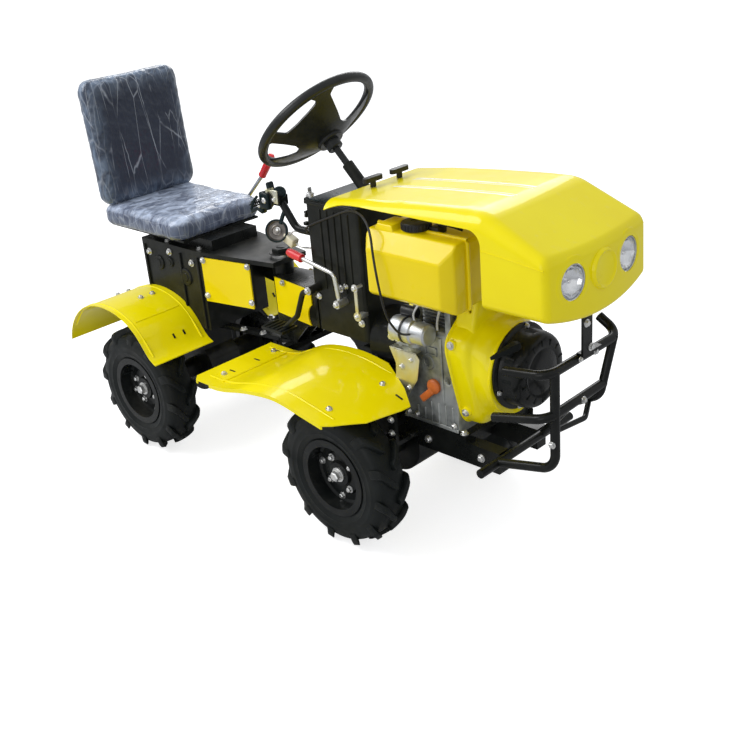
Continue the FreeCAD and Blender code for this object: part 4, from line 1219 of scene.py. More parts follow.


# %% [markdown]
# The bottom of the seat pad is pressed flat where it rests on its pan. The back pad leans by four degrees on
# its hinge line. Each pad carries the value called film, which grows from its middle to its rim and places
# the painted sheen there.

# %% Make the two cushions
def rim_sheen_share(pad, middle, half, axes):
    """Stores on every point how near it is to the rim of the pad, which is where its painted sheen goes."""
    layer = pad.data.attributes.new("film", "FLOAT", "POINT")
    turned_back = middle.inverted()
    for v in pad.data.vertices:
        local = turned_back @ v.co
        share = max(abs(local[a]) / half[a] for a in axes)
        layer.data[v.index].value = max(0.0, min(1.0, (share - 0.62) / 0.34)) ** 1.4


seat_low, seat_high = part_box("seat_cushion")
seat_size = seat_high - seat_low + Vector((0.012, 0.006, 0))
seat_place = Matrix.Translation((seat_low + seat_high) / 2 - Vector((0.006, 0, 0)))
seat_pad = swell("seat_pad", foam_start(seat_size, 0.0015, 0.046, 0.016, 2), 3.2, 0.009)
for v in seat_pad.data.vertices:
    v.co.z = max(v.co.z, -seat_size.z / 2 + 0.0004)
settle(seat_pad, seat_place, waves(4, 14, 0.0005))
rim_sheen_share(seat_pad, seat_place, seat_size / 2, (0, 1))
RECLINE = math.radians(4)
HINGE = at(-610, 0, 753)
back_size = Vector((0.052, 0.368, 0.406))
back_place = (Matrix.Translation(HINGE) @ Matrix.Rotation(-RECLINE, 4, "Y")
              @ Matrix.Translation((-0.026, 0, 0.201)))
back_pad = swell("back_pad", foam_start(back_size, 0.001, 0.040, 0.018, 0), 3.2, 0.008)
settle(back_pad, back_place, waves(9, 16, 0.0006))
rim_sheen_share(back_pad, back_place, back_size / 2, (1, 2))
for pad, cloth, node, fill in ((seat_pad, seat_cloth, "seat_cushion", 0.75),
                               (back_pad, back_cloth, "seat_back", 0.7)):
    pad.data.materials.clear()
    pad.data.materials.append(cloth)
    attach(pad, "rear_chassis")
    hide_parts(node)
    print(pad.name, len(pad.data.polygons), "faces")

# %% [markdown]
# ## Headlights
# Each lamp is a chromed bowl behind a domed lens in a thin chrome bezel. The lens closes the bowl, so the
# bowl must be a separate shape with air between. The same profile serves both lamps.

# %% Lamps
LAMP_FRONT = 1110


def lamp_seat(s, depth):
    """Middle and direction of the lamp on one side, at a depth behind the nose."""
    lean = Vector((1, s * LAMP_Y / NOSE_BOW, NOSE_LEAN)).normalized()
    return Vector((LAMP_FRONT, s * LAMP_Y, LAMP_Z)) - lean * depth, lean


for side_name, s in (("right", -1), ("left", 1)):
    seat, lean = lamp_seat(s, 3.5)
    bowl = turned([(0, -30), (10, -29.4), (22, -26), (32, -18), (38.5, -7), (40.0, -2), (41.6, -2),
                   (41.6, -9), (34, -21), (23, -29), (10, -32), (0, -32.6)], seat, lean, 48)
    bulb = turned([(0, -30), (5, -30), (5, -16), (6, -14), (6, -10), (4, -7), (0, -6)], seat, lean, 24)
    make("lamp_bowl_" + side_name, "front_chassis", chrome, [bowl, bulb],
         ["headlights"] if s < 0 else ())
    bezel = turned([(38.6, -1.5), (41.7, -1.5), (41.9, 1.6), (40.8, 2.7), (39.2, 2.2)], seat, lean, 64,
                   close=True)
    make("lamp_bezel_" + side_name, "front_chassis", machined_alloy, [bezel])
    lens_glass = turned([(0, 3.4), (14, 3.1), (26, 2.2), (34, 1.0), (38.4, -0.4), (38.4, -2.4), (34, -1.4),
                         (26, -0.4), (14, 0.6), (0, 0.9)], seat, lean, 64)
    make("lamp_lens_" + side_name, "front_chassis", lamp_lens, [lens_glass])

# %% [markdown]
# The hood round each lamp is pressed into a soft round welt, and a fold runs back from the nose along the
# side where the top sheet laps the skirt. Both are low raised forms that sit into the skin.

# %% Hood pressings
pressings = []
for s in (-1, 1):
    seat, lean = lamp_seat(s, 0.4)
    pressings.append(turned([(42.6, -2), (42.6, 0.2), (45, 0.9), (50, 1.5), (55, 1.3), (60, 0.2), (62, -2)],
                            seat, lean, 72, close=True))
    fold = [(925, s * 202.8, 889.5), (965, s * 202.9, 886), (1010, s * 202.9, 881.5), (1050, s * 202.9, 877),
            (1080, s * 202.5, 873.5), (1094, s * 201.0, 872)]
    pressings.append(rod(fold, 1.5, 8))
make("hood_pressings", "front_chassis", yellow_paint, pressings)

# %% [markdown]
# Plain pale lines run along the top of the hood: two broad strips of film and two narrow ones, which follow
# its crest.

# %% Hood stripes
def stripe(y0, y1, x0, x1, steps=40):
    """A thin strip between two widths and two lengths, sunk a little into the crest."""
    rows = []
    for i in range(steps + 1):
        x = x0 + (x1 - x0) * i / steps
        rows.append([(x, y, crest_height(x) + h) for y, h in ((y0, -0.2), (y0, 0.5), (y1, 0.5), (y1, -0.2))])
    return loft(rows)


make("hood_stripes", "front_chassis", pale_stripe,
     [stripe(y - w, y + w, 520, 900) for y, w in ((-44, 3.5), (-31, 1.2), (31, 1.2), (44, 3.5))])

# %% [markdown]
# ## Cap and breather of the tank
# The cap has a ribbed edge for the fingers. That is a repeat round an axis, so one rib is shaped and a small
# node tree copies it round in a ring. The same tree can serve any other ring of equal forms.

# %% Tank cap
make("tank_outlet", "front_chassis", black_plastic,
     [block(742, 770, -166, -132, 890, 908, 3), rod([(756, -150, 904), (770, -150, 912), (790, -140, 908),
                                                    (806, -120, 896)], 3.5)])

rib_tree, given, result = new_tree("ring_of_ribs", ("Count", "NodeSocketInt", 24),
                                   ("Material", "NodeSocketMaterial", None))
hand_out(rib_tree, given, result,
         ring_of_copies(rib_tree, given.outputs["Geometry"], given.outputs["Count"], "Z"))


def ring_of(name, form, count, centre, material, body, turn=Matrix()):
    """Copies one working mesh, drawn round the z axis, in a ring about a centre in shop millimetres."""
    form.transform(Matrix.Scale(0.001, 4))
    out = grown(name, kept_mesh(name, form), rib_tree, count=count, material=material)
    out.transform(Matrix.Translation(at(*centre)) @ turn)
    return place_mesh(name, out, body)


ring_of("cap_ribs", block(34.5, 37.6, -2, 2, 1, 15, 0.9), 26, (CAP_X, CAP_Y, 897), black_plastic,
        "front_chassis")
make("cap_top", "front_chassis", black_plastic,
     [turned([(0, 913.5), (12, 913.8), (13.5, 915.2), (27, 915.6), (33, 914.9), (34.6, 913.4), (33, 912)],
             (CAP_X, CAP_Y, 0), steps=48)])

# %% [markdown]
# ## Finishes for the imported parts
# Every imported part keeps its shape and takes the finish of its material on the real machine.

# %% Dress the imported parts
DRESS = {
    yellow_paint: ["hood", "front_fenders", "rear_fenders", "blower_housing"],
    plate_paint: ["beam_plates", "neck_plates"],
    tank_paint: ["fuel_tank"],
    black_paint: ["front_frame", "pivot_neck", "bumper", "control_arm", "seat_frame", "lower_yoke",
                  "rear_hitch"],
    wheel_paint: ["rim_front_right", "rim_front_left", "rim_rear_right", "rim_rear_left"],
    dark_iron: ["front_axle", "transmission_case", "rear_gearcase", "rear_beam", "recoil_starter", "pedal"],
    console_paint: ["console"],
    black_plastic: ["fuel_cap", "hood_knobs", "air_cleaner"],
    cast_alloy: ["engine_crankcase", "engine_cylinder"],
    burnt_steel: ["muffler"],
    zinc_steel: ["pivot_pin", "right_lever", "left_lever"],
    red_vinyl: ["right_lever_grip", "left_lever_grip"],
    tyre_rubber: ["tyre_front_right", "tyre_front_left", "tyre_rear_right", "tyre_rear_left"],
    cable_skin: ["throttle_cable"],
    chrome: ["headlights"],
    seat_cloth: ["seat_cushion"],
    back_cloth: ["seat_back"],
}
for material, names in DRESS.items():
    for name in names:
        node = frame["nodes"][name]
        for slot in node.material_slots:
            slot.material = material
        if not node.material_slots:
            node.data.materials.append(material)
undressed = set(frame["nodes"]) - {n for names in DRESS.values() for n in names}
print("dressed", len(frame["nodes"]), "parts; left over:", sorted(undressed))

# %% [markdown]
# ## Engine details
# The engine is a small air-cooled diesel. On its right side sit the starter motor, a long silver can
# along the crankshaft, a zinc bracket that carries the governor, and the orange oil plug. The can is
# turned, the bracket is a cut sheet with a bent top edge, and the cast case gets raised ribs and a round
# cover.

# %% Starter motor and bracket
STARTER = Vector((568, -128, 602))
can = turned([(0, 0), (16, 0.4), (27, 2.5), (32, 7), (34, 13), (34, 44), (33, 46), (33, 50), (34, 52),
              (34, 74), (30, 78), (29, 118), (24, 122), (0, 122)], STARTER, (1, 0, 0), 48)
gear_end = turned([(0, 0), (12, -1), (12, -8), (7, -10), (0, -10)], STARTER, (1, 0, 0), 24)
make("starter_motor", "front_chassis", machined_alloy, [can, gear_end])
strap = turned([(34.0, 45), (35.6, 45), (35.6, 51), (34.0, 51)], STARTER, (1, 0, 0), 48, close=True)
switch_can = turned([(0, 0), (13, 0), (15, 2), (15, 44), (12, 48), (0, 48)], STARTER + Vector((20, 18, 44)),
                    (1, 0, 0), 32)
make("starter_strap", "front_chassis", black_plastic, [strap, switch_can])
BRACKET = [(536, 533), (628, 535), (641, 519), (629, 458), (605, 422), (592, 399), (541, 399), (536, 418),
           (554, 455), (556, 491)]
bracket = sheet(BRACKET, 2.5, lambda u, v, w: (u, -117 - w, v))
bracket_lip = block(536, 628, -119.5, -96, 531, 534, 0.8)
make("governor_bracket", "front_chassis", yellow_zinc, [bracket, bracket_lip])

# %% [markdown]
# Sand-cast walls are stiffened by ribs. On this case they are a row of short upright ones over each side, a
# long one along the foot, and a framed panel. The oil plug is a moulded cap with a broad wing to turn it by.

# %% Cast ribs, cover and plug
cast = [turned([(0, 0), (11, 0), (12, 2), (20, 2.5), (22, 1), (24, -3), (24, -6)], (648, -95, 507),
               (0, -1, 0), 40)]
for x0, x1, z0, z1 in ((642, 682, 530, 534), (642, 682, 550, 554), (642, 646, 530, 554),
                       (678, 682, 530, 554)):
    cast.append(block(x0, x1, -98, -93, z0, z1, 1.2))
for k in range(6):
    x = 604 + 24 * k
    cast.append(block(x, x + 5, -98.5, -93, 334, 396 if k > 1 else 372, 1.6))
    cast.append(block(x, x + 5, 93, 98.5, 334, 560, 1.6))
cast.append(block(562, 744, -99, -94, 326, 337, 2))
cast.append(block(562, 744, 94, 99, 326, 337, 2))
cast.append(block(690, 700, -99, -94, 400, 585, 2))
cast.append(turned([(0, 0), (9, 0), (10, 1.5), (14, 2), (14, -4)], (715, -95, 468), (0, -1, 0), 30))
make("crankcase_ribs", "front_chassis", cast_alloy, cast)
plug = turned([(0, 15), (11, 15), (17, 13), (20.5, 9), (20.5, 2), (16, 0), (16, -4)], (669, -95, 444),
              (0, -1, 0), 36)
wing = block(617, 669, -111, -99, 420, 440, 4, Matrix.Rotation(math.radians(-42), 3, "Y"))
wing.transform(Matrix.Translation((6, 0, -13)))
make("oil_plug", "front_chassis", orange_plastic, [plug, wing])
pipe = rod([(642, -128, 632), (640, -128, 652), (652, -118, 676), (668, -92, 690), (690, -76, 720),
            (704, -66, 744), (700, -46, 762)], 3, 10)
banjo = turned([(0, -7), (7, -7), (9, -4), (9, 4), (7, 7), (0, 7)], (616, -101, 640), (0, -1, 0), 24)
fuel_pipe = rod([(742, -132, 726), (738, -128, 700), (720, -118, 676), (704, -112, 640), (696, -104, 612)],
                3.5, 10)
make("fuel_pipes", "front_chassis", zinc_steel, [pipe, banjo, fuel_pipe])

# %% [markdown]
# The blower housing is pressed with two shallow rings where its bowl steps down to the recoil starter, and
# it bolts to the case through raised pads. The recoil cover breathes through a ring of slots between raised
# ribs, a repeat for the rib tree; each slot is a dark matte block, painted shade for the opening. Its pull
# grip hangs at the top right.

# %% Blower rings, pads and recoil cover
RECOIL_X, RECOIL_Z = 871, 520
pads = [((765, s * 133.5, 596), (0, s, 0.12)) for s in (-1, 1)]
pads += [((770, s * 93, 396), (0, s * 0.97, -0.24)) for s in (-1, 1)]
forms = [turned([(0, 2.5), (11, 2.5), (13, 1), (15, -6)], place, way, 28) for place, way in pads]
make("blower_pressings", "front_chassis", yellow_paint, forms)

cover = turned([(0, 0.5), (112, 0.5), (113, 3), (113, 8), (109, 10), (102, 12), (99.5, 17), (99, 46),
                (98, 56), (94.5, 64), (88, 69.5), (78, 72.4), (64, 73.4), (61.5, 72.4), (59, 72.4),
                (56.5, 73.6), (30, 74), (0, 74)], (RECOIL_X, 0, RECOIL_Z), (1, 0, 0), 96)
make("recoil_cover", "front_chassis", black_paint, [cover], ["recoil_starter"], sharp=45)
# The slots are dark matte blocks on the cover: painted shade for the openings.
for name, slat, count, x in (("recoil_face_slots", (68, 84, -2.6, 2.6, -1.0, 0.6, 0.4), 14, 944.3),
                             ("recoil_side_slots", (97.5, 99.6, -5, 5, -28, -2, 0.6), 12, 921)):
    ring_of(name, block(*slat), count, (x, 0, RECOIL_Z), soft_rubber, "front_chassis",
            basis((1, 0, 0)))
grip = faceted([(-3, 3, -40, -4, 4), (-12, 12, 30, -10, 10), (-9, 9, 42, -7, 7)], 2)
grip.transform(Matrix.Translation((908, -104, 604)) @ Matrix.Rotation(math.radians(66), 4, "Z")
               @ Matrix.Rotation(math.radians(-14), 4, "Y") @ Matrix.Rotation(math.radians(-90), 4, "Z"))
grip_neck = turned([(9, -4), (11, 4), (8, 16), (0, 16)], (906, -84, 592), (0, -0.7, 0.7), 24)
make("pull_grip", "front_chassis", soft_rubber, [grip, grip_neck])
bolts("engine_bolts", "front_chassis",
      [(*(Vector(p) + 2.5 * Vector(w)), w, 7.5) for p, w in pads]
      + [(883, 105 * math.cos(math.radians(a)), RECOIL_Z + 105 * math.sin(math.radians(a)), (1, 0, 0), 5.5)
         for a in (20, 80, 140, 200, 260, 320)]
      + [(x, s * 99, z, (0, s, 0), 6.5) for s in (-1, 1) for x, z in ((574, 345), (732, 345), (604, 345))]
      + [(578, -119.6, 485, (0, -1, 0), 6.5), (600, -119.6, 430, (0, -1, 0), 5.5),
         (556, -119.6, 412, (0, -1, 0), 5.5), (612, -119.6, 512, (0, -1, 0), 5.5),
         (535, -104, 558, (0, -1, 0), 9), (556, -104, 555, (0, -1, 0), 7)]
      + [(x, y, 752, (0, 0, 1), 8) for x in (614, 734) for y in (-58, 58)])

# %% [markdown]
# ## Controls round the driver
# A bent arm beside the console holds the throttle clamp, with its return spring, friction disc and a zinc
# plate. A small horn hangs under it, its steel bell open to the front. A coil spring is a helix, which is
# only a rod along a winding line.

# %% Throttle clamp, spring and horn
def coil(start, stop, r, wire, turns):
    """A coil spring between two points."""
    a, b = Vector(start), Vector(stop)
    along = (b - a).normalized()
    u = along.orthogonal().normalized()
    v = along.cross(u)
    n = int(turns * 10)
    wind = [(k / n, 2 * math.pi * k / 10) for k in range(n + 1)]
    return rod([a.lerp(b, t) + (u * math.cos(w) + v * math.sin(w)) * r for t, w in wind], wire, 8, 2)


make("clamp_spring", "front_chassis", dark_iron,
     [coil((6, -90, 836), (42, -80, 848), 8, 1.6, 6),
      rod([(-6, -92, 832), (8, -90, 840), (14, -90, 842)], 2, 8)])
make("clamp_plate", "front_chassis", yellow_zinc,
     [block(66, 104, -80, -76, 846, 884, 1.5), block(62, 70, -86, -60, 868, 886, 1.5)])
disc = turned([(0, 9), (6, 9), (7, 7), (14, 6.6), (17, 5), (19, 1), (19, -6), (16, -9), (0, -9)],
              (96, -62, 874), (0.75, -0.55, 0.3), 40)
lever_bar = block(-30, 40, -4, 4, -5, 5, 2)
lever_bar.transform(Matrix.Translation((10, -78, 820)) @ Matrix.Rotation(math.radians(-24), 4, "Y"))
cheek = block(36, 74, -92, -72, 826, 876, 6)
ear = block(56, 68, -76, -52, 862, 902, 5, Matrix.Rotation(math.radians(-12), 3, "Y"))
heel = block(20, 44, -88, -66, 812, 836, 5, Matrix.Rotation(math.radians(20), 3, "Y"))
thumb = rod([(40, -98, 866), (30, -106, 850), (22, -110, 828)], 4, 10)
make("clamp_parts", "front_chassis", column_paint, [disc, lever_bar, cheek, ear, heel, thumb])
HORN = Vector((100, -92, 772))
HORN_WAY = (0.55, -0.78, 0.3)
horn_rim = turned([(28, 5), (31, 6), (33, 3), (33, -4), (30, -9), (14, -14), (0, -15), (0, -12), (25, -7),
                   (28, -2)], HORN, HORN_WAY, 44, close=True)
horn_post = rod([(104, -78, 790), (108, -70, 812), (112, -62, 828)], 6, 12)
make("horn_body", "front_chassis", column_paint, [horn_rim, horn_post])
horn_bell = turned([(0, 1), (6, 1), (7, -1), (12, -1.8), (13.5, -0.6), (15, -1.8), (24, -3.4), (28, 2),
                    (28, -1.5), (24, -6.5), (0, -6.5)], HORN, HORN_WAY, 44)
make("horn_bell", "front_chassis", horn_steel, [horn_bell])
relay = block(110, 152, -84, -58, 732, 758, 4, Matrix.Rotation(math.radians(24), 3, "Y"))
make("relay", "front_chassis", cream_plastic, [relay])
make("relay_stay", "front_chassis", zinc_steel,
     [rod([(150, -70, 738), (180, -72, 732), (210, -74, 736), (239, -76, 740)], 3, 10),
      rod([(128, -74, 758), (138, -64, 768), (148, -60, 770)], 2.5, 10)])

# %% [markdown]
# The console is a ribbed box with a flat dash on top, where the ignition switch sits. On its right side a
# rod comes down from the lever and a flat zinc link carries its pull to the gear case.

# %% Console, levers and link
ribs = [block(x, x + 6, y, y + 5, 640, 866, 2) for y in (-103, 98) for x in (292, 318, 344, 370, 396)]
ribs += [block(232, 242, -101, -86, 834, 852, 2), block(229, 242, -104, -90, 812, 822, 2),
         block(226, 243, -92, -62, 872, 886, 3), block(238, 440, -103, -97, 874, 883, 2)]
make("console_ribs", "front_chassis", console_paint, ribs)
dash = block(246, 434, -94, 94, 884.4, 886.6, 0.8)
make("dash_plate", "front_chassis", column_paint, [dash])
lock = turned([(0, 15), (7, 15), (9, 13), (9, 10), (13, 9), (13, 6), (10, 5), (10, 0)], (238, -74, 884),
              (-0.25, -0.1, 1), 28)
key = block(234, 237, -81, -67, 894, 912, 1.2)
eye = turned([(6, -3), (6, 3), (12.5, 3), (13, 2), (13, -2), (12.5, -3)], (430, -122, 594), (0, -1, 0), 36,
             close=True)
make("key_switch", "front_chassis", zinc_steel, [lock, key])
link = block(424, 435, -124, -120, 604, 674, 1.2)
lower_rod = rod([(353, -122, 694), (357, -122, 670), (362, -122, 634)], 6.8, 14)
make("lever_link", "front_chassis", yellow_zinc, [link, eye, lower_rod])
make("link_pins", "front_chassis", zinc_steel,
     [turned([(6, 0), (6, 24), (0, 24)], (430, -98, 594), (0, -1, 0), 20),
      turned([(5, 0), (5, 24), (0, 24)], (430, -98, 676), (0, -1, 0), 20),
      block(424, 437, -119, -88, 586, 602, 2)])
bolts("control_bolts", "front_chassis",
      [(430, -124, 676, (0, -1, 0), 7.5), (430, -125, 594, (0, -1, 0), 5.5),
       (351, -100.4, 652, (0, -1, 0), 7.5), (372, -100.4, 662, (0, -1, 0), 6),
       (412, -90.5, 560, (0, -1, 0), 7.5), (262, -100.4, 612, (0, -1, 0), 6.5),
       (60, -85, 854, (0, -1, 0), 9), (30, -84, 832, (0, -1, 0), 5), (90, -80.5, 858, (0, -1, 0), 4.5),
       (100, -88, 774, HORN_WAY, 5), (238, -96, 842, (-1, 0, 0), 5), (240, 60, 860, (-1, 0, 0), 5),
       (364, -133, 618, (0, -1, 0), 8), (262, -141, 640, (0, -1, 0), 8), (300, 100.4, 640, (0, 1, 0), 6.5),
       (380, 100.4, 640, (0, 1, 0), 6.5)])

# %% [markdown]
# The red grips are vinyl sleeves pushed on the lever ends: a turned form with a rounded nose, a soft
# swelling in the middle and a rolled rim.

# %% Lever grips
def sleeve(start, direction, length, r):
    """A grip of a length and a radius, pushed on from its outer end."""
    rows = [(0, 0), (r * 0.72, 0), (r * 0.95, 1.5), (r, 4), (r * 0.94, 7), (r * 0.93, 10)]
    rows += [(r * (0.93 + 0.05 * math.sin(math.pi * t / 10)), 10 + (length - 24) * t / 10)
             for t in range(1, 10)]
    rows += [(r * 0.94, length - 13), (r * 0.92, length - 8), (r * 0.78, length - 2.5),
             (r * 0.45, length - 0.4), (0, length)]
    return turned(rows, start, direction, 32)


make("right_grip_sleeve", "front_chassis", red_vinyl,
     [sleeve((230.7, -122, 722.1), (-121, 0, 22), 58, 13)], ["right_lever_grip"])
make("left_grip_sleeve", "rear_chassis", red_vinyl,
     [sleeve((-287.5, 198, 811.6), (37, 0, 46), 95, 13)], ["left_lever_grip"])

# %% [markdown]
# ## Steering wheel
# A deeply dished wheel is moulded over a steel core in one piece. Its broad plate leaves four openings: a
# wide one, a narrow slot along the rim and two small ones beside the hub. The plate is a cone, so its
# openings are drawn flat, as a mould maker draws them, and cut straight along the shaft.

# %% Dish with its openings
COLUMN_TILT = math.radians(45)
AXIS = Vector((-math.sin(COLUMN_TILT), 0, math.cos(COLUMN_TILT)))
WHEEL_MIDDLE = Vector((209, 0, 1073))
OPENINGS = [[(140, -36), (96, -3), (70, 14), (62, 26), (59, 40), (60, 66), (68, 106), (100, 150), (170, 100),
             (175, -20)],
            [(116, -89), (76, -112), (22, -137), (20, -165), (90, -150), (122, -112)],
            [(-32, -122), (-33, -92), (-44, -78), (-66, -72), (-88, -80), (-116, -110), (-60, -160),
             (-34, -150)],
            [(-12, 80), (-14, 165), (-80, 150), (-130, 90), (-66, 48), (-46, 64)]]


def opening_distance(p, corners, soft=7, rim=160):
    """Distance to one opening with soft corners, negative inside it."""
    q = p[..., :2]
    far = np.full(q.shape[:-1], 1e3)
    inside = np.zeros(q.shape[:-1], bool)
    for a, b in zip(np.array(corners, float), np.roll(np.array(corners, float), -1, axis=0)):
        along, arm = b - a, q - a
        t = np.clip((arm @ along) / (along @ along), 0, 1)
        far = np.minimum(far, np.linalg.norm(arm - t[..., None] * along, axis=-1))
        crosses = (a[1] > q[..., 1]) != (b[1] > q[..., 1])
        inside ^= crosses & (arm[..., 0] < along[0] * arm[..., 1] / (along[1] + 1e-9))
    return np.maximum(np.where(inside, -far, far) - soft, np.hypot(q[..., 0], q[..., 1]) - rim)


def dish_cuts(p):
    """Distance to the nearest opening of the dish."""
    return np.min([opening_distance(p, corners) for corners in OPENINGS], axis=0)


def dish_height(p):
    """Height above the cone of the dish."""
    return p[..., 2] - np.interp(np.hypot(p[..., 0], p[..., 1]), [0, 42, 62, 168], [-60, -60, -50, -2])


DISH_SPOKES, DISH_RINGS = 220, 52
turns = np.linspace(0, 2 * math.pi, DISH_SPOKES, endpoint=False)[:, None]
radii = np.linspace(12, 167, DISH_RINGS)
flat = np.stack([np.cos(turns) * radii, np.sin(turns) * radii, 0 * turns * radii], axis=-1)
DISH_WALL = 5.6
dish = pressed_sheet(onto(dish_height, flat, 3), dish_cuts, dish_height, DISH_WALL)
lay = Matrix((Vector((AXIS.z, 0, -AXIS.x)), Vector((0, 1, 0)), AXIS)).transposed().to_4x4()
bmesh.ops.transform(dish, matrix=Matrix.Translation(WHEEL_MIDDLE) @ lay, verts=dish.verts)
print("dish faces", len(dish.faces))

# %% [markdown]
# The rim is a round bar bent to a circle, and the hub with its shaft is one turned form. Both sink into the
# edges of the dish.

# %% Wheel body
RIM_R, GRIP_R = 171, 13
rim_line = [WHEEL_MIDDLE + lay.to_3x3() @ Vector((RIM_R * c, RIM_R * s, 0)) for c, s in around(32)]
hub = turned([(0, -58), (36, -58), (38, -60), (38, -72), (36, -74), (22, -74), (22, -94), (20, -96),
              (9.5, -96), (9.5, -210), (0, -210)], WHEEL_MIDDLE, AXIS, 48)
make("wheel_body", "steering_wheel", wheel_plastic,
     [dish, rod(rim_line, GRIP_R, 28, closed=True), hub], ["steering_wheel"], sharp=40)

# %% [markdown]
# The wheel's middle is covered by a plain pressed cap with one thin bright ring.

# %% Wheel cap
make("wheel_cap", "steering_wheel", wheel_plastic,
     [turned([(0, -54.5), (16, -54.8), (27, -56.2), (31, -58.5), (32, -61)], WHEEL_MIDDLE, AXIS, 56)])
make("wheel_cap_ring", "steering_wheel", machined_alloy,
     [turned([(19.5, -55.2), (20.2, -54.5), (22.2, -54.7), (22.8, -55.8)], WHEEL_MIDDLE, AXIS, 56,
             close=True)])

# %% [markdown]
# ## Fender pressings
# Thin sheet is stiffened by pressed beads. The footrest sheet rises from a flat floor into an arch that is
# tall near the engine and low outside, so a bead on it has to ask the sheet for its height at each point.

# %% Beads, slots and bolts on the fenders
ARCH_IN = [(100, 407), (170, 421), (230, 450), (300, 470), (370, 477), (440, 474), (500, 464), (600, 440),
           (660, 415)]
ARCH_OUT = [(100, 407), (160, 414), (215, 427), (300, 441), (361, 445), (418, 438), (473, 427), (550, 412),
            (610, 396)]

FLAT_START, FLAT_RUN, FLAT_Z = 100, 92, 407
SHEET_IN, SHEET_OUT = 90.3, 392


def footrest_point(t, y):
    """The sheet's top at a share t of its arch and a distance y from the middle; below zero is the flat."""
    if t <= 0:
        return Vector((FLAT_START + FLAT_RUN * t, y, FLAT_Z))
    share = (abs(y) - SHEET_IN) / (SHEET_OUT - SHEET_IN)
    k = min(t, 0.9999) * (len(ARCH_IN) - 1)
    i = int(k)
    f = k - i
    near = Vector(ARCH_IN[i]).lerp(Vector(ARCH_IN[i + 1]), f)
    far = Vector(ARCH_OUT[i]).lerp(Vector(ARCH_OUT[i + 1]), f)
    p = near.lerp(far, share)
    return Vector((p.x, y, p.y))


REAR_ARCH = [(-712, 340), (-690, 392), (-634, 452), (-564, 488), (-490, 500), (-420, 493), (-355, 468),
             (-305, 424), (-268, 378), (-240, 362)]
front_beads, rear_beads, front_slot_shades, rear_slot_shades, holders = [], [], [], [], []
for s in (-1, 1):
    for y, t0, t1 in ((116, -0.7, 0.8), (350, -0.6, 0.86)):
        path = [footrest_point(t0 + (t1 - t0) * k / 18, s * y) for k in range(19)]
        front_beads.append(rod([p - Vector((0, 0, 1.2)) for p in path], 3.2, 10, 2))
    cross = [footrest_point(0.02, s * y) - Vector((0, 0, 1.4)) for y in range(120, 361, 24)]
    front_beads.append(rod(cross, 3.0, 10, 2))
    for y in (140, 328):
        rear_beads.append(rod([Vector((x, s * y, z - 1.4)) for x, z in REAR_ARCH[1:-1]], 3.4, 10, 4))
    for x, z in (REAR_ARCH[2], REAR_ARCH[6]):
        rear_beads.append(rod([Vector((x, s * y, z - 1.2)) for y in (150, 200, 260, 318)], 3.0, 10, 2))
    # Each slot is a thin black block set into the sheet: painted shade for the open slot.
    for t, y in ((-0.3, 120), (-0.3, 293), (-0.3, 200)):
        p = footrest_point(t, s * y)
        front_slot_shades.append(block(p.x - 12, p.x + 12, p.y - 3, p.y + 3, p.z - 0.6, p.z + 0.35, 0.3))
    front_slot_shades.append(block(598, 622, s * 172 - 2.5, s * 172 + 2.5, 425, 427, 0.5,
                             Matrix.Rotation(math.radians(19), 3, "Y")))
    for y in (228, 189):
        rear_slot_shades.append(block(-299, -283, s * y - 3, s * y + 3, 404, 407.5, 0.5,
                                Matrix.Rotation(math.radians(54), 3, "Y")))
    holders += [(69, s * 321, FLAT_Z, (0, 0, 1), 6.5), (68, s * 130, FLAT_Z, (0, 0, 1), 6.5),
                (*footrest_point(0.80, s * 331), (0.2, 0, 1), 6.5),
                (*footrest_point(0.82, s * 165), (0.3, 0, 1), 6.5)]
make("footrest_beads", "front_chassis", yellow_paint, front_beads)
make("mudguard_beads", "rear_chassis", yellow_paint, rear_beads)
make("fender_slots_front", "front_chassis", black_paint, front_slot_shades)
make("fender_slots_rear", "rear_chassis", black_paint, rear_slot_shades)
bolts("footrest_bolts", "front_chassis", holders)
bolts("rear_bolts", "rear_chassis",
      [p for s in (-1, 1) for p in (
          (-450, s * 222, 498.4, (0.1, 0, 1), 6.5), (-449, s * 178, 498.4, (0.1, 0, 1), 6.5),
          (-588, s * 218, 477.5, (-0.45, 0, 1), 6.5), (-582, s * 180, 480, (-0.45, 0, 1), 6.5),
          (-58, s * 89.5, 634, (0.19, s, 0), 7), (-228, s * 122.5, 634, (0.19, s, 0), 7),
          (-58, s * 89.5, 520, (0.19, s, 0), 7), (-228, s * 122.5, 520, (0.19, s, 0), 7),
          (-510, s * 120.4, 613, (0, s, 0), 8), (-510, s * 120.4, 430, (0, s, 0), 8),
          (-290, s * 120.4, 613, (0, s, 0), 8), (-400, s * 120.4, 630, (0, s, 0), 8),
          (-157, s * 57, 398.4, (0, 0, 1), 8), (-80, s * 44, 398.4, (0, 0, 1), 8),
          (-430, s * 102, 655.4, (0, 0, 1), 7), (-270, s * 100, 655.4, (0, 0, 1), 7),
          (-557.4, s * 55, 433, (-1, 0, 0), 9), (-557.4, s * 55, 527, (-1, 0, 0), 9))])
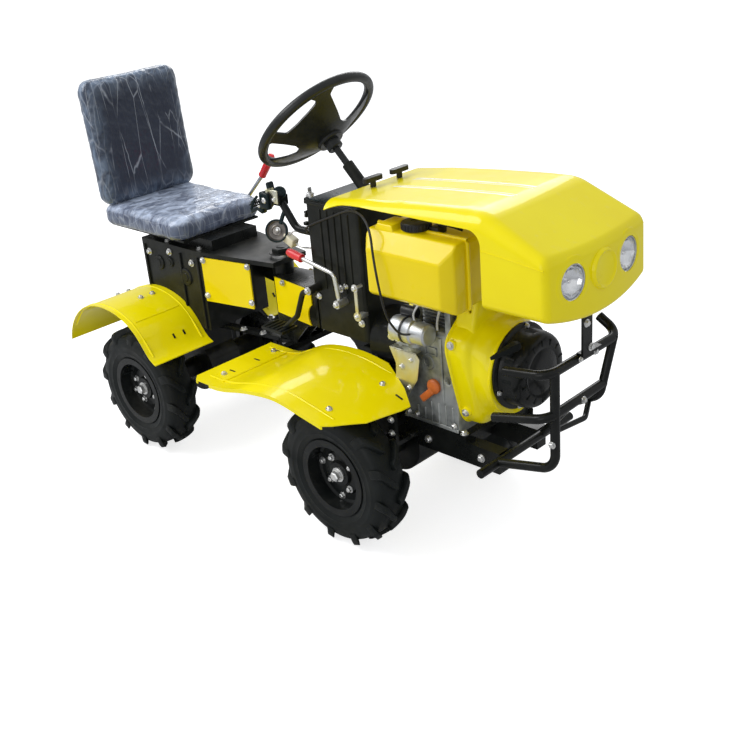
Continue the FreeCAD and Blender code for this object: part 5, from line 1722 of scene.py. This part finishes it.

# %% [markdown]
# ## Pivot, gear case and frame ends
# A castellated nut locks the pivot pin, and the rear gear case has a filler plug and a level plug in round
# bosses. The bumper's open tube ends show a bright cut edge round a dark disc, painted shade for the hollow
# bore.

# %% Pivot nut and gear case fittings
make("pivot_nut", "rear_chassis", dark_iron,
     [turned([(19, 665.2), (26, 665.2), (28, 667), (28, 678), (25, 680.4), (0, 680.4)], (0, 0, 0), (0, 0, 1),
             6),
      turned([(20, 665), (37, 665), (37, 667.5), (28, 667.5)], (0, 0, 0), (0, 0, 1), 40),
      turned([(0, 683), (12, 682.5), (15, 680.5), (15, 679)], (0, 0, 0), (0, 0, 1), 30)])
bosses = []
for s in (-1, 1):
    for x, z, r in ((-464, 584, 24), (-405, 595, 17), (-330, 560, 28)):
        bosses.append(turned([(0, 7), (r * 0.5, 7), (r * 0.55, 5), (r * 0.9, 5), (r, 3), (r * 1.05, -3)],
                             (x, s * 120, z), (0, s, 0), 36))
    for x in (-535, -350, -262):
        bosses.append(block(x, x + 8, s * 122.4 - 3.5, s * 122.4 + 3.5, 400, 636, 2))
make("gear_case_bosses", "rear_chassis", dark_iron, bosses)
make("pedal_grip", "front_chassis", soft_rubber,
     [block(66 + 17 * k, 76 + 17 * k, -157, -101, 494, 500, 2) for k in range(5)])
mouths = []
# Each mouth is a cut-edge ring round a black disc that closes the tube: the disc is painted shade for the
# bore.
for place, way, r in (((1007, 150, 632), (-0.852, 0, 0.523), 12), ((890, -193, 300), (0, -1, 0), 12),
                      ((890, 193, 300), (0, 1, 0), 12), ((943, -150, 580), (-0.99, 0, -0.14), 12)):
    mouths.append(turned([(0, -0.2), (9.3, -0.2), (9.3, 0.5), (11.6, 0.5), (12.1, -1)], place, way, 32))
make("tube_ends", "front_chassis", black_paint, mouths)
# A dark matte disc just inside three of the tube ends is painted shade for the hollow bore.
bore_shade = [turned([(0, 0.35), (9.2, 0.35), (9.2, -0.3)], place, way, 32)
        for place, way in (((1007, 150, 632), (-0.852, 0, 0.523)), ((890, -193, 300), (0, -1, 0)),
                           ((890, 193, 300), (0, 1, 0)))]
make("tube_bores", "front_chassis", tyre_rubber, bore_shade)
bolts("frame_bolts", "front_chassis",
      [(1064, -132.2, 411, (0, -1, 0), 6.5), (1076.2, -34, 600, (1, 0, 0), 5),
       (1084.4, -4, 624, (1, 0, 0), 7), (1084.4, -22, 690, (1, 0, 0), 7), (1076, 30, 597, (1, 0, 0), 6),
       (1076.2, -20, 488, (1, 0, 0), 6.5)]
      + [p for s in (-1, 1) for p in (
          (300, s * 100.4, 280, (0, s, 0), 8), (640, s * 100.4, 280, (0, s, 0), 8),
          (820, s * 100.4, 280, (0, s, 0), 8), (560, s * 88, 325.4, (0, 0, 1), 8),
          (756, s * 88, 325.4, (0, 0, 1), 8), (58, s * 58, 597, (-0.12, s, 0), 7),
          (603, s * 200.4, 330, (0, s, 0), 7), (603, s * 200.4, 370, (0, s, 0), 7))])
